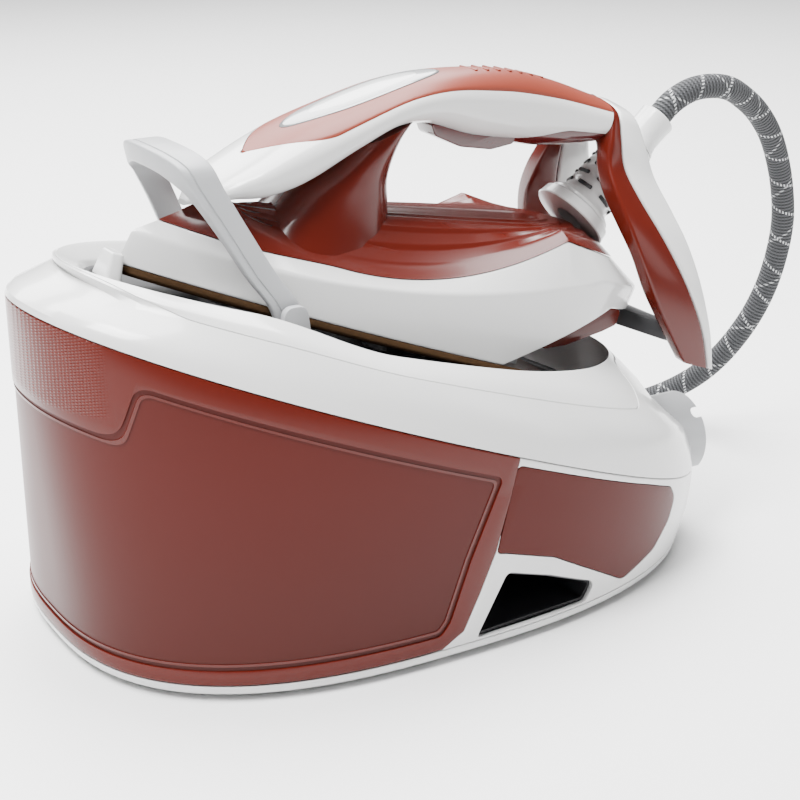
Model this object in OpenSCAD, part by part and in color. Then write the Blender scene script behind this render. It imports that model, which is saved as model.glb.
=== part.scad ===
// Steam generator iron: base with a slide-out tank, lift-off iron and steam hose.
// +X points to the rear, +Y to the side of the hose gland, +Z up; the feet stand on z = 0.

/* [Base] */
// Half width of the base at its widest
base_half_width = 115; // [100:1:140]
// Reach of the base ahead of the origin
base_front = 183.5; // [170:0.5:220]
// Reach of the base behind the origin
base_rear = 171; // [160:1:205]
// Height of the deck seam above the origin
seam_height = 98.3; // [90:0.1:118]
// Fall of the deck seam per millimetre towards the rear
seam_slope = 0.38; // [0.3:0.01:0.4]
// Lowest height of the deck seam, at the rear
seam_low = 44.5; // [40:0.5:52]
// Height of the bottom pan's rim
pan_height = 8; // [7:0.5:10]
// Wall of the moulded housings
wall = 2.5; // [2:0.1:3.2]

/* [Deck] */
// Height of the crest round the iron rest, above the origin
crest_height = 133.9; // [130:0.1:150]
// Inset of the crest from the widest side
crest_inset = 21.3; // [18:0.1:25]
// Rise of the deck round the iron's nose
nose_rise = 9; // [5:0.5:12]

/* [Iron] */
// Tilt of the iron on its rest, in degrees
iron_tilt = 20; // [17:0.5:21]
// Height of the iron's datum above the floor
iron_z = 131; // [129:0.5:150]
// Half width of the soleplate
sole_half_width = 58; // [50:0.5:60]
// Reach of the nose ahead of the datum
nose_reach = 144; // [125:1:146]
// Thickness of the soleplate
sole_thick = 4.5; // [3.5:0.1:6]
// Half width of the hand grip
grip_half_width = 21; // [18:0.5:25]
// Wall of the iron's housings
iron_wall = 2.2; // [1.8:0.1:2.8]

/* [Hose] */
// Outer diameter of the steam hose
hose_d = 13; // [11:0.5:15]
// Radius of the stored coil at mid-turn
coil_r = 72; // [65:1:78]

/* [Clearances] */
// Running gap between pieces that move on each other
run_gap = 0.3; // [0.25:0.05:0.5]
// Shadow gap between outer housings
seam_gap = 0.5; // [0.4:0.1:0.8]

/* [Hidden] */
$fn = 32;
sides = 64;

copper = "#a8452f";
white = "#f1f1ee";
dark = "#2a2a2c";
grey = "#b9bcbf";
steel = "#c4c7ca";

// ---- helpers: superellipse outlines and lofts ----
function mix(a, b, t) = a + (b - a) * t;
function smooth(t) = let (k = min(1, max(0, t))) k * k * (3 - 2 * k);
function spow(v, e) = sign(v) * pow(abs(v), e);
// Point of an egg-shaped outline: centre, front reach, rear reach, half width, front and rear exponents
function egg(p, a) = let (front = cos(a) < 0, e = 2 / (front ? p[4] : p[5]))
    [p[0] + (front ? p[1] : p[2]) * spow(cos(a), e), p[3] * spow(sin(a), e)];
function grown(p, d) = [p[0], p[1] + d, p[2] + d, p[3] + d, p[4], p[5]];
// Joins rings of equal length into a solid with strip caps, for rings that mirror across y = 0
module skin(rings) {
    n = len(rings[0]);
    m = len(rings);
    cap = concat([[0, 1, n - 1]], [for (i = [1 : n / 2 - 2]) [i, i + 1, n - i - 1, n - i]],
        [[n / 2 - 1, n / 2, n / 2 + 1]]);
    top = [for (f = cap) [for (i = [len(f) - 1 : -1 : 0]) f[i] + n * (m - 1)]];
    polyhedron([for (r = rings) each r], concat(cap, walls(n, m, false), top));
}
function walls(n, m, closed) = [for (k = [0 : m - (closed ? 1 : 2)], i = [0 : n - 1])
    let (j = (i + 1) % n, l = (k + 1) % m) [k * n + i, l * n + i, l * n + j, k * n + j]];
// Joins rings into a closed loop, for a shell whose profile runs round an opening
module loop_skin(rings) polyhedron([for (r = rings) each r], walls(len(rings[0]), len(rings), true));
// Joins flat sections, each a plane polygon, into a solid
module sections(rings) {
    n = len(rings[0]);
    m = len(rings);
    polyhedron([for (r = rings) each r], concat([[for (i = [0 : n - 1]) i]], walls(n, m, false),
        [[for (i = [n - 1 : -1 : 0]) i + n * (m - 1)]]));
}
// Makes one mesh of a group of lofts
module meshed() resize([0, 0, 0]) union() children();

// ---- base outlines ----
seam_c = 18.4;
pan_c = -18;
pan_low = 1.5;
function seam_z(x) = let (z = seam_height - seam_slope * x, d = z - seam_low)
    seam_low + (d + sqrt(d * d + 36)) / 2;
seam_egg = [seam_c, base_front + seam_c, base_rear - 1.5 - seam_c, base_half_width, 2.05, 2.45];
pan_egg = [pan_c, base_front - 6.8 + pan_c, base_rear - 5 - pan_c, base_half_width, 2.65, 2.45];
// Ring of the side wall: 0 at the pan's rim, 1 at the seam
function wall_egg(s) = [for (i = [0 : 5]) mix(pan_egg[i], seam_egg[i], s) + (i == 2 ? 12 * s * (1 - s) : 0)];
function wall_ring(s, d, lift = 0) = [for (i = [0 : sides - 1])
    let (p = egg(grown(wall_egg(s), d), 360 * i / sides)) [p[0], p[1], mix(pan_height, seam_z(p[0]), s) + lift]];
function flat_ring(p, z) = [for (i = [0 : sides - 1]) let (q = egg(p, 360 * i / sides)) [q[0], q[1], z]];
wall_steps = [0, 0.2, 0.4, 0.6, 0.8, 1];
module wall_body(d, low, high) skin([for (s = wall_steps)
    wall_ring(s, d, s == 0 ? low : s == 1 ? high : 0)]);
module wall_shell(outer, inner, low, high) loop_skin(concat(
    [for (s = wall_steps) wall_ring(s, outer, s == 0 ? low : s == 1 ? high : 0)],
    [for (i = [5 : -1 : 0]) wall_ring(wall_steps[i], inner, i == 0 ? low : i == 5 ? high : 0)]));

// ---- side outlines, in x and z ----
// Rear edge of the tank, from the pan to the deck
function tank_edge(d) = [[-33 + d, pan_height + 0.2], [-21 + d, 15], [-12 + d, 33], [-4 + d, 51], [3 + d, 74],
    [8.5 + d, 95], [13 + d, 125]];
module tank_side(d, back = 300) polygon(concat(tank_edge(d), [[-back, 300], [-back, pan_height + 0.2]]));
module sideways(half) rotate([90, 0, 0]) linear_extrude(height = 2 * half, center = true) children();
// Coloured side panel: a band under the seam with a round rear end
panel_drop = 49;
panel_end = 117;
module panel_side(d) offset(delta = d) offset(r = 8) offset(delta = -8)
    polygon([[0, 51], [8.5, 95 - 4], [panel_end - 25, seam_z(panel_end - 25) - 4], [panel_end - 6, 52],
        [panel_end, 44], [panel_end - 3, 32], [panel_end - 14, 20], [78, 12.5], [62, 22], [30, 40], [2, 49]]);
module tunnel_side(d) offset(delta = d) offset(r = 4) offset(delta = -4)
    polygon([[-14, 9], [3, 39], [28, 31], [58, 18.5], [52, 9]]);

// ---- base: housing ----
module bottom_pan() placed() color(white) meshed() difference() {
    skin([flat_ring(grown(pan_egg, -5), pan_low), flat_ring(grown(pan_egg, -1), pan_low + 2),
        flat_ring(pan_egg, pan_height - 0.2), flat_ring(grown(pan_egg, -wall), pan_height - 0.2),
        flat_ring(grown(pan_egg, -wall - 2), pan_low + wall)]);
    for (p = foot_places) translate([p[0], p[1], 0]) cylinder(d = foot_d + 0.4, h = pan_low + 1);
    for (p = screw_places) translate([p[0], p[1], 0]) cylinder(d = screw_d + 0.4, h = 20);
}
// One half of the frame behind the tank, which joins the other at the middle of the rear
module frame_half(side) placed() color(white) meshed() difference() {
    wall_shell(0, -wall, 0, -seam_gap);
    translate([-250, side > 0 ? -249.9 : -0.1, -5]) cube([500, 250, 300]);
    sideways(200) tank_side(seam_gap);
    sideways(200) panel_side(seam_gap / 2);
    sideways(200) tunnel_side(0);
    gland_cut();
    cap_cut();
}
module frame_left() frame_half(-1);
module frame_right() frame_half(1);
module side_panel(side) color(copper) meshed() intersection() {
    wall_shell(0, -wall, 0, -seam_gap);
    mirror([0, side > 0 ? 1 : 0, 0]) rotate([90, 0, 0]) linear_extrude(height = 200) panel_side(0);
}
module side_panel_left() placed() side_panel(-1);
module side_panel_right() placed() side_panel(1);
module cord_tunnel() placed() color(dark) meshed() intersection() {
    wall_body(-wall - run_gap, 0.3, -3);
    sideways(200) difference() {
        tunnel_side(0);
        tunnel_side(-1.6);
    }
}
foot_d = 18;
foot_places = [[-110, 62], [-110, -62], [112, 62], [112, -62]];
module feet() placed() color(dark) for (p = foot_places) translate([p[0], p[1], 0]) cylinder(d = foot_d, h = pan_low + 0.7);

// ---- base: deck and rest ----
// Rings of the deck: outline, height above the origin, fall per millimetre, share of the nose rise
deck_rings = [
    [seam_egg, seam_height, seam_slope, 0],
    [grown(seam_egg, -4), seam_height + 14.7, 0.335, 0],
    [[seam_c + 0.9, base_front - 4, base_rear - 44.3, base_half_width - 10, 2.15, 2.4],
        seam_height + 25.3, 0.33, 0.2],
    [[seam_c - 1, base_front - 5, base_rear - 49, base_half_width - 15, 2.05, 2.1], crest_height - 4.4, 0.295, 0.6],
    [[seam_c - 2.4, base_front - 7.5, base_rear - 55, base_half_width - crest_inset, 1.9, 1.7],
        crest_height, 0.26, 1]];
function nose_lift(x) = nose_rise * smooth((-40 - x) / 60);
function deck_ring(k, d, lift) = let (r = deck_rings[k]) [for (i = [0 : sides - 1])
    let (p = egg(grown(r[0], d), 360 * i / sides))
    [p[0], p[1], (k == 0 ? seam_z(p[0]) : r[1] - r[2] * p[0]) + r[3] * nose_lift(p[0]) + lift]];
tray_w = -9;
function tray_z(x) = iron_z + tray_w / cos(iron_tilt) - x * tan(iron_tilt);
tray_egg = [seam_c - 4.4, base_front - 21.5, base_rear - 59, base_half_width - 35, 2, 2];
function tray_ring(d, lift) = [for (i = [0 : sides - 1])
    let (p = egg(grown(tray_egg, d), 360 * i / sides)) [p[0], p[1], tray_z(p[0]) + lift]];
module deck_cover() placed() color(white) meshed() difference() {
    loop_skin([deck_ring(0, 0, 0), deck_ring(1, 0, 0), deck_ring(2, 0, 0), deck_ring(3, 0, 0), deck_ring(4, 0, 0),
        tray_ring(2, 2), tray_ring(0, -3), tray_ring(wall, -3), tray_ring(wall + 3, 1), deck_ring(4, 0, -wall - 1),
        deck_ring(3, -wall, -wall), deck_ring(2, -wall, -wall), deck_ring(1, -wall, -wall + 1),
        deck_ring(0, -wall, 0)]);
    cap_cut();
    panel_place() translate([0, 0, -6]) cube([56.6, 22.6, 20], center = true);
}
module rest_tray() placed() color(dark) meshed() {
    skin([tray_ring(-run_gap, -3), tray_ring(-run_gap, 0)]);
    for (s = [-1, 1]) translate([lock_x, s * (lock_half + 8), lock_z])
        sideways_lug();
}
module sideways_lug() rotate([90, 0, 0]) difference() {
    hull() {
        cylinder(d = 11, h = 4, center = true);
        translate([0, tray_z(lock_x) - lock_z - 1, 0]) cube([16, 1, 4], center = true);
    }
    cylinder(d = lock_pin_d + 0.1, h = 6, center = true);
}
pad_places = [[-88, 0], [-20, 34], [-20, -34], [42, 36], [42, -36]];
module rest_pads() placed() color("#55565a") iron_place() for (p = pad_places) translate([p[0], p[1], tray_w + 0.05])
    cylinder(d = 12, h = -tray_w - 1 - sole_thick - run_gap - 0.05);
module nose_stop() placed() color(grey) meshed() iron_place() hull() for (s = [-1, 1])
    translate([-nose_reach - 7, s * 8, tray_w + 0.3]) cylinder(d = 5, h = 13);

// ---- lock arch ----
lock_x = -73;
lock_z = 158;
lock_half = 45.5;
lock_pin_d = 5;
// Stations of one half: outer y and z, inner y and z, front x, rear x
lock_half_path = [[51, 156, 45.5, 156, -80, -66], [51, 165, 45.5, 165, -84, -70], [47, 178, 41.5, 177, -92, -78],
    [41, 198, 35.5, 196, -102, -88], [36, 215, 30, 211, -111, -96], [31, 226, 26, 217, -116, -100],
    [18, 230, 15, 221, -119, -102]];
function arch_section(p, side) = [[p[5], side * p[0], p[1]], [p[4], side * p[0], p[1]],
    [p[4], side * p[2], p[3]], [p[5], side * p[2], p[3]]];
module lock_arch() placed() color(grey) meshed() difference() {
    union() {
        sections([for (p = lock_half_path) arch_section(p, 1), arch_section([0, 231, 0, 222, -120, -103], 1),
            for (i = [len(lock_half_path) - 1 : -1 : 0]) arch_section(lock_half_path[i], -1)]);
        for (s = [-1, 1]) translate([lock_x, s * (lock_half + 2.75), lock_z]) rotate([90, 0, 0])
            cylinder(d = 12, h = 5.5, center = true);
    }
    translate([lock_x, 0, lock_z]) rotate([90, 0, 0]) cylinder(d = lock_pin_d + 0.6, h = 120, center = true);
}
module lock_pins() placed() color(steel) for (s = [-1, 1]) translate([lock_x, s * (lock_half + 4.2), lock_z])
    rotate([90, 0, 0]) cylinder(d = lock_pin_d, h = 10.5, center = true);

// ---- base: works inside ----
shelf_z = 39.4;
shelf_thick = 2;
shelf_top = shelf_z + shelf_thick;
boiler_at = [95, 0, 50];
boiler_r = 27;
boiler_half = 56;
cap_y = -38;
cap_d = 44;
cap_stem_d = 16;
boss_end = 134;
module along_x(at) translate(at) rotate([0, 90, 0]) children();
module along_y(at) translate(at) rotate([-90, 0, 0]) children();
module boiler() placed() color(steel) difference() {
    union() {
        along_y(boiler_at - [0, boiler_half, 0]) rotate_extrude($fn = 48) polygon([[0, 0], [boiler_r - 8, 0],
            [boiler_r - 2, 3], [boiler_r, 8], [boiler_r, 2 * boiler_half - 8], [boiler_r - 2, 2 * boiler_half - 3],
            [boiler_r - 8, 2 * boiler_half], [0, 2 * boiler_half]]);
        along_x([boiler_at[0] + 15, cap_y, boiler_at[2]]) cylinder(d = cap_stem_d + 8, h = boss_end - boiler_at[0] - 15);
        for (s = [-1, 1]) translate([boiler_at[0] - 15, s * 30 - 4, pan_low + wall + 0.2])
            cube([30, 8, boiler_at[2] - boiler_r - pan_low - wall + 6]);
    }
    along_x([boiler_at[0] + 20, cap_y, boiler_at[2]]) cylinder(d = cap_stem_d + 2 * run_gap, h = 60);
}
module boiler_heater() placed() color("#8a7a5c") along_y(boiler_at + [0, boiler_half + 0.1, 0]) {
    cylinder(d = 34, h = 5);
    for (s = [-1, 1]) translate([s * 9, 0, 5]) cylinder(d = 4, h = 8);
}
module boiler_thermostat() placed() color(grey) along_y(boiler_at - [0, boiler_half + 7.1, 0]) cylinder(d = 18, h = 7);
module pump_mounts() placed() color(dark) difference() {
    union() {
        translate([0, -62, shelf_z]) cube([66, 140, shelf_thick]);
        translate([62, -62, pan_low + wall + 0.2]) cube([3, 140, shelf_z - pan_low - wall]);
    }
    translate([40, 60, shelf_z - 1]) cube([6, 6, 6]);
}
pump_at = [34, -30, shelf_top + 15];
module pump() placed() color("#d8d8d4") union() {
    along_y(pump_at - [0, 24, 0]) cylinder(d = 28, h = 48);
    along_y(pump_at - [0, 32, 0]) cylinder(d = 8, h = 9);
    along_y(pump_at + [0, 23, 0]) cylinder(d = 8, h = 9);
    translate(pump_at - [12, 20, 14.9]) cube([24, 40, 8]);
}
valve_at = [40, 30, shelf_top + 0.1];
module steam_valve() placed() color(steel) union() {
    translate(valve_at - [11, 11, 0]) cube([22, 22, 14]);
    translate(valve_at + [0, 0, 13]) cylinder(d = 16, h = 16);
    along_x(valve_at + [10, 0, 7]) cylinder(d = 8, h = 9);
}
module control_board() placed() color("#2f6b45") union() {
    translate([6, 70, shelf_top + 0.1]) cube([54, 1.6, 34]);
    for (x = [14, 30, 46]) translate([x, 64, shelf_top + 9]) cube([8, 6.5, 10]);
    translate([8, 66, shelf_top + 0.1]) cube([50, 4.5, 3]);
}
socket_at = [3, -30, shelf_top + 11];
socket_d = 22;
stub_d = 14;
module tank_socket() placed() color(dark) difference() {
    along_x(socket_at) cylinder(d = socket_d - 0.2, h = 12);
    along_x(socket_at - [1, 0, 0]) cylinder(d = stub_d + 2 * run_gap, h = 9);
}
module socket_seal() placed() color("#7a2f28") along_x(socket_at - [1.5, 0, 0]) difference() {
    cylinder(d = socket_d - 2, h = 1.4);
    translate([0, 0, -1]) cylinder(d = stub_d + 2 * run_gap + 0.4, h = 4);
}

// ---- tubes swept along a route ----
function unit(v) = v / norm(v);
// Smooth curve through the points, with the given steps to a span
function curve(p, steps) = [for (i = [0 : len(p) - 2], k = [0 : steps - (i == len(p) - 2 ? 0 : 1)])
    let (t = k / steps, a = p[max(0, i - 1)], b = p[i], c = p[i + 1], d = p[min(len(p) - 1, i + 2)])
    0.5 * (2 * b + (c - a) * t + (2 * a - 5 * b + 4 * c - d) * t * t + (3 * b - a - 3 * c + d) * t * t * t)];
function heading(p, i) = unit(p[min(i + 1, len(p) - 1)] - p[max(i - 1, 0)]);
function carried(n, t) = unit(n - t * (n * t));
function normals(p, n) = [for (i = 0, v = carried(n, heading(p, 0)); i < len(p); i = i + 1,
    v = carried(v, heading(p, min(i, len(p) - 1)))) v];
module tube(p, d, count, first) {
    up = normals(p, first);
    sections([for (i = [0 : len(p) - 1]) let (t = heading(p, i), w = cross(t, up[i]))
        [for (k = [0 : count - 1]) p[i] + d / 2 * (up[i] * cos(360 * k / count) + w * sin(360 * k / count))]]);
}
module water_tube() placed() color("#d9dcdc") {
    tube(curve([[17.7, -33, 52.4], [17.7, -43, 52.4], [17.9, -56, 53.6], [21, -66, 55.6], [28, -70, 56.4],
        [34, -68, 56.4], [34, -62.5, 56.4]], 2), 5, 8, [0, 0, 1]);
    tube(curve([[34, 2.8, 56.4], [34, 8, 57], [46, 10, 60], [60, 8, 62], [66.5, 7, 58]], 2), 6, 8, [0, 0, 1]);
}
module steam_pipe() placed() color("#c9a26a")
    tube(curve([[59.9, 30, 48.4], [63, 33, 48.6], [63.6, 48, 48.6], [64, 70, 48.5], [68, 84, 44],
        [80, 86, 34], [100, 70, 26], [112, 58, 26], [122, 54, 27], [129, 58, 28], [130, 67.6, 28]], 2), 7, 8, [0, 0, 1]);

// ---- base: outlets, cap and controls ----
gland_at = [130, 101, 28];
gland_d = 22;
gland_root = 68;
module hose_gland() placed() color(dark) union() {
    along_y([gland_at[0], gland_root, gland_at[2]]) cylinder(d = gland_d, h = 92 - gland_root);
    along_y([gland_at[0], 92, gland_at[2]]) cylinder(d1 = gland_d, d2 = hose_d + 4, h = gland_at[1] - 92, $fn = 40);
}
lead_at = [173, 40, 28];
lead_bore = 8;
lead_bush_d = 18;
lead_bush_length = 22;
module power_gland() placed() color(dark) difference() {
    along_x(lead_at - [lead_bush_length, 0, 0]) cylinder(d = lead_bush_d, h = lead_bush_length);
    along_x(lead_at - [lead_bush_length + 1, 0, 0]) cylinder(d = lead_bore, h = lead_bush_length + 2);
}
module gland_cut() {
    along_y([gland_at[0], gland_root - 8, gland_at[2]]) cylinder(d = gland_d + 0.4, h = 60);
    along_x(lead_at - [lead_bush_length - 3, 0, 0]) cylinder(d = lead_bush_d + 0.4, h = 60);
}
module cap_cut() along_x([boss_end + 4, cap_y, boiler_at[2]]) cylinder(d = cap_d + 2 * run_gap + 1, h = 80);
cap_face = 168;
module scale_cap() placed() color(grey) along_x([0, cap_y, boiler_at[2]]) difference() {
    union() {
        translate([0, 0, boss_end + 6]) cylinder(d = cap_d, h = cap_face - boss_end - 6);
        translate([0, 0, boiler_at[0] + 24]) cylinder(d = cap_stem_d, h = 60);
        translate([0, 0, boss_end + 0.3]) cylinder(d = cap_stem_d + 8, h = 8);
    }
    for (s = [-1, 1]) translate([-cap_d / 2, s * 12 - 5, cap_face - 8]) cube([cap_d, 10, 9]);
}
panel_at = [70, 87, 114];
panel_length = 56;
panel_width = 22;
button_d = 11;
button_travel = 1.2;
button_x = 16;
module panel_place() translate(panel_at) rotate([-22, 0, 0]) rotate([0, 16.5, 0]) children();
module control_panel() placed() color(dark) panel_place() difference() {
    linear_extrude(height = 5) offset(r = 4) square([panel_length - 8, panel_width - 8], center = true);
    for (s = [-1, 1]) translate([s * button_x, 0, -1]) cylinder(d = button_d + 2 * run_gap, h = 8);
    for (k = [-1, 0, 1]) translate([k * 6, 5, -1]) cylinder(d = 3.1, h = 8);
}
module panel_lights() placed() color("#f2b544") panel_place() for (k = [-1, 0, 1]) translate([k * 6, 5, 1])
    cylinder(d = 2.9, h = 4.3);
module button(s) panel_place() translate([s * button_x, 0, -3]) cylinder(d = button_d, h = 9.6);
module power_button() placed() color(white) button(-1);
module eco_button() placed() color("#6fae5a") button(1);
screw_d = 4;
screw_places = [[-60, 88], [-60, -88], [80, 84], [80, -84]];
module base_screws() placed() color(steel) for (p = screw_places) translate([p[0], p[1], 0]) {
    translate([0, 0, 0.3]) cylinder(d = 7, h = pan_low - 0.3);
    translate([0, 0, pan_low]) cylinder(d = screw_d, h = 7);
}

// ---- water tank ----
module window_side() polygon([[-300, 15], [-33, 15], [-28, 21], [-17, 50], [0, 87],
    [-154, seam_z(-154) - 13], [-162, 119], [-185, 126], [-300, 126]]);
module grip_side(d) offset(delta = d) polygon([[-300, 131], [-185, 131], [-164, 124], [-158, 146],
    [-185, 155], [-300, 155]]);
module tank_frame() placed() color(copper) meshed() intersection() {
    difference() {
        wall_shell(0, -2, 0.3, -seam_gap);
        sideways(200) window_side();
        sideways(200) grip_side(0.2);
    }
    sideways(200) tank_side(0);
}
module tank_grip() placed() color("#8f3524") meshed() intersection() {
    wall_shell(0.4, -2, 0.2, -seam_gap);
    sideways(200) grip_side(0);
}
// The tank is a tub and a lid, split along its ceiling
module tank_body() intersection() {
    wall_body(-2.3, 0.5, -4);
    sideways(200) tank_side(-3);
}
module under_lid(lift) wall_body(5, -5, -4 - wall + lift);
module tank_shell() placed() color("#b5584699") meshed() difference() {
    intersection() {
        tank_body();
        under_lid(-0.05);
    }
    intersection() {
        wall_body(-2.3 - wall, 0.5 + wall, 8);
        sideways(200) tank_side(-3 - wall);
    }
    along_x([-30, socket_at[1], socket_at[2]]) cylinder(d = stub_d + 0.3, h = 40);
}
module tank_lid() placed() color("#b5584699") meshed() difference() {
    tank_body();
    under_lid(0);
    translate([-125, 0, 100]) cylinder(d = 44, h = 90);
}
module tank_valve() placed() color(dark) union() {
    along_x([-16, socket_at[1], socket_at[2]]) cylinder(d = 20, h = 3);
    along_x([-14, socket_at[1], socket_at[2]]) cylinder(d = stub_d, h = 22);
}

// ---- iron: u runs back along the sole, w is up from it ----
iron_x = 1;
blade_c = 50;
module iron_place() translate([iron_x, 0, iron_z]) rotate([0, iron_tilt, 0]) children();
function iron_point(u, w) = [iron_x + u * cos(iron_tilt) + w * sin(iron_tilt), 0,
    iron_z - u * sin(iron_tilt) + w * cos(iron_tilt)];
// Flat-iron outline: front reach and rear reach from the widest place, half width, rear exponent
function blade(p, a) = let (f = abs(180 - a), s = a > 180 ? -1 : 1)
    f < 90 ? [blade_c - p[0] * pow(cos(f), 0.97), s * p[2] * pow(sin(f), 1.84)]
    : [blade_c + p[1] * spow(cos(a), 2 / p[3]), p[2] * spow(sin(a), 2 / p[3])];
function blade_outline(p) = [for (i = [0 : sides - 1]) blade(p, 360 * i / sides)];
function blade_ring(p, d, height, lift = 0) = [for (q = blade_outline([p[0] + d, p[1] + d, p[2] + d, p[3]]))
    [q[0], q[1], height(q[0]) + lift]];
front = nose_reach + blade_c;
skirt_half = sole_half_width + 1;
skirt_low = function (u) -0.7 + min(38, max(0, 0.62 * (u - 38)));
crease = function (u) min(50, 27.5 + 0.2 * u + 0.0008 * u * u);
red_line = function (u) u < -96 ? 33 + 0.23 * (u + 96) : u < 58 ? 24 + 0.0034 * (u + 50) * (u + 50) : 64 - 0.07 * (u - 58);
dome = function (u) 56 + 0.18 * (u - 3);
low_blade = [front, 86, skirt_half, 2.2];
crease_blade = [front - 3, 87, skirt_half + 1.5, 2.2];
line_blade = [front - 21.3, 66, skirt_half - 7, 2.2];
sole_top = -1;
heater_thick = 13;

module soleplate() placed() color(steel) iron_place() translate([0, 0, sole_top - sole_thick])
    linear_extrude(height = sole_thick) polygon(blade_outline([front - 1, 24, sole_half_width, 3.5]));
module sole_heater() placed() color("#8f9296") iron_place() translate([0, 0, sole_top + 0.05])
    linear_extrude(height = heater_thick) polygon(blade_outline([front - 30, 14, sole_half_width - 12, 3]));
module skirt() placed() color(white) meshed() iron_place() loop_skin([
    blade_ring(low_blade, 0, skirt_low), blade_ring(crease_blade, 0, crease), blade_ring(line_blade, 0, red_line),
    blade_ring(line_blade, -iron_wall, red_line), blade_ring(crease_blade, -iron_wall, crease, -1),
    blade_ring(low_blade, -iron_wall, skirt_low)]);
top_blades = [[0, red_line, 0.3], [-7, red_line, 4.5], [-26, dome, 0], [-48, dome, 1.6]];
module body_top() placed() color(copper) meshed() iron_place() skin(concat(
    [for (i = [3 : -1 : 0]) blade_ring(line_blade, top_blades[i][0] - iron_wall, top_blades[i][1],
        top_blades[i][2] - (i == 0 ? 0 : iron_wall))],
    [for (b = top_blades) blade_ring(line_blade, b[0], b[1], b[2])]));
// Rings of the column: front, rear, half width, height at the middle, slope
column_rings = [[-78, -18, 25, 48.7, 0.18], [-67, -26, 24.5, 64, 0.4], [-57, -25, 24, 80, 0.75]];
function column_ring(r, d) = let (c = (r[0] + r[1]) / 2, h = (r[1] - r[0]) / 2 + d)
    [for (i = [0 : 39]) let (a = 9 * i, u = c + h * spow(cos(a), 0.9))
        [u, (r[2] + d) * spow(sin(a), 0.9), r[3] + r[4] * (u - c)]];
module front_column() placed() color(copper) meshed() iron_place() loop_skin(concat(
    [for (r = column_rings) column_ring(r, 0)], [for (i = [2 : -1 : 0]) column_ring(column_rings[i], -iron_wall)]));
module heel_base() placed() color(copper) iron_place() rotate([90, 0, 0]) linear_extrude(height = 76, center = true)
    polygon([[76, 8], [76, 22], [97, 35.2], [117, 37], [117, 28.5], [109.5, 23.5], [89, 12.4]]);
foot_plate = 50.7;
module heel_strut() placed() color(dark) iron_place() translate([0, 0, 28]) linear_extrude(height = 8.8)
    polygon([[117.3, -24], [117.3, 24], [140, foot_plate], [152, foot_plate], [152, -foot_plate], [140, -foot_plate]]);

// ---- handle ----
handle_top = [[-121, 34], [-113, 46], [-99, 61], [-83, 77], [-56, 97], [-18, 120], [3, 128], [26, 134], [50, 136.5],
    [84, 136]];
handle_low = [[-121, 31.5], [-113, 36], [-104, 39.5], [-90, 43.5], [-77, 51], [-52, 75], [-35, 90], [-17, 97], [17, 99], [41, 103],
    [64, 109], [84, 114]];
handle_half = [[-121, 4], [-113, 17], [-100, 25], [-83, 28], [-56, 28], [-30, 26], [0, 23], [26, 21], [60, 21],
    [84, 25]];
handle_places = [-121, -118, -113, -106, -99, -91, -83, -70, -56, -37, -18, 3, 26, 50, 70, 84];
grip_scale = grip_half_width / 21;
function handle_at(u) = [u, lookup(u, handle_low), lookup(u, handle_top), lookup(u, handle_half) * grip_scale];
function lens_point(s, a, d) = [s[0], (s[3] - d) * spow(cos(a), 0.83),
    (s[1] + s[2]) / 2 + ((s[2] - s[1]) / 2 - d) * spow(sin(a), 0.83)];
function full_section(s) = [for (i = [0 : 31]) lens_point(s, 360 * i / 32, 0)];
function band(s, a0, a1, d0, d1) = concat([for (i = [0 : 18]) lens_point(s, mix(a0, a1, i / 18), d0)],
    [for (i = [18 : -1 : 0]) lens_point(s, mix(a0, a1, i / 18), d1)]);
inlay_angle = 24;
trigger_half = 8;
module handle_shell() placed() color(white) meshed() iron_place() difference() {
    union() {
        sections([for (u = handle_places) if (u < -98.5) full_section(handle_at(u))]);
        sections([for (u = handle_places) if (u > -99.5)
            band(handle_at(u), 180 - inlay_angle, 360 + inlay_angle, 0, iron_wall)]);
    }
    translate([17, 0, 100]) cube([54, 2 * (trigger_half + run_gap), 24], center = true);
    translate([pin_u, 0, pin_w]) rotate([90, 0, 0]) cylinder(d = trigger_pin_d + 0.1, h = 21.4, center = true);
}
module grip_inlay() placed() color("#d97a5e") meshed() iron_place() sections([for (u = handle_places) if (u > -99.5)
    band(handle_at(u == -99 ? -98.6 : u), inlay_angle + 0.6, 179.4 - inlay_angle, 0, iron_wall)]);
lens_middle = -46;
lens_reach = 37;
lens_half = 13.5;
module top_lens() placed() color("#c9cdd0") meshed() iron_place() sections([for (k = [-1 : 0.2 : 1])
    let (u = lens_middle + lens_reach * k * 0.98, s = handle_at(u), w = lens_half * sqrt(1.06 - k * k * 0.98),
        a = acos(pow(min(1, w / s[3]), 1.2))) band(s, a, 180 - a, -1.1, -0.35)]);
pin_u = 37;
pin_w = 107;
trigger_pin_d = 4;
module steam_trigger() placed() color("#3a2422") iron_place() difference() {
    rotate([90, 0, 0]) linear_extrude(height = 2 * trigger_half, center = true)
        polygon([[-8, 98], [-4, 93.5], [12, 92], [30, 95], [42, 101], [42, 110], [33, 110], [30, 104], [-6, 103.5]]);
    translate([pin_u, 0, pin_w]) rotate([90, 0, 0]) cylinder(d = trigger_pin_d + 0.3, h = 30, center = true);
}
module trigger_pin() placed() color(steel) iron_place() translate([pin_u, 0, pin_w]) rotate([90, 0, 0])
    cylinder(d = trigger_pin_d, h = 21, center = true);
module microswitch() placed() color(dark) iron_place() union() {
    translate([4, -5, pin_w + 2]) cube([20, 10, 10]);
    translate([12, -5, pin_w + 11.5]) cube([3, 10, 130.5 - iron_wall - pin_w - 12.2]);
}
module iron_thermostat() placed() color(grey) iron_place() translate([20, 0, sole_top + heater_thick + 0.1])
    cylinder(d = 16, h = 8);
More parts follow.
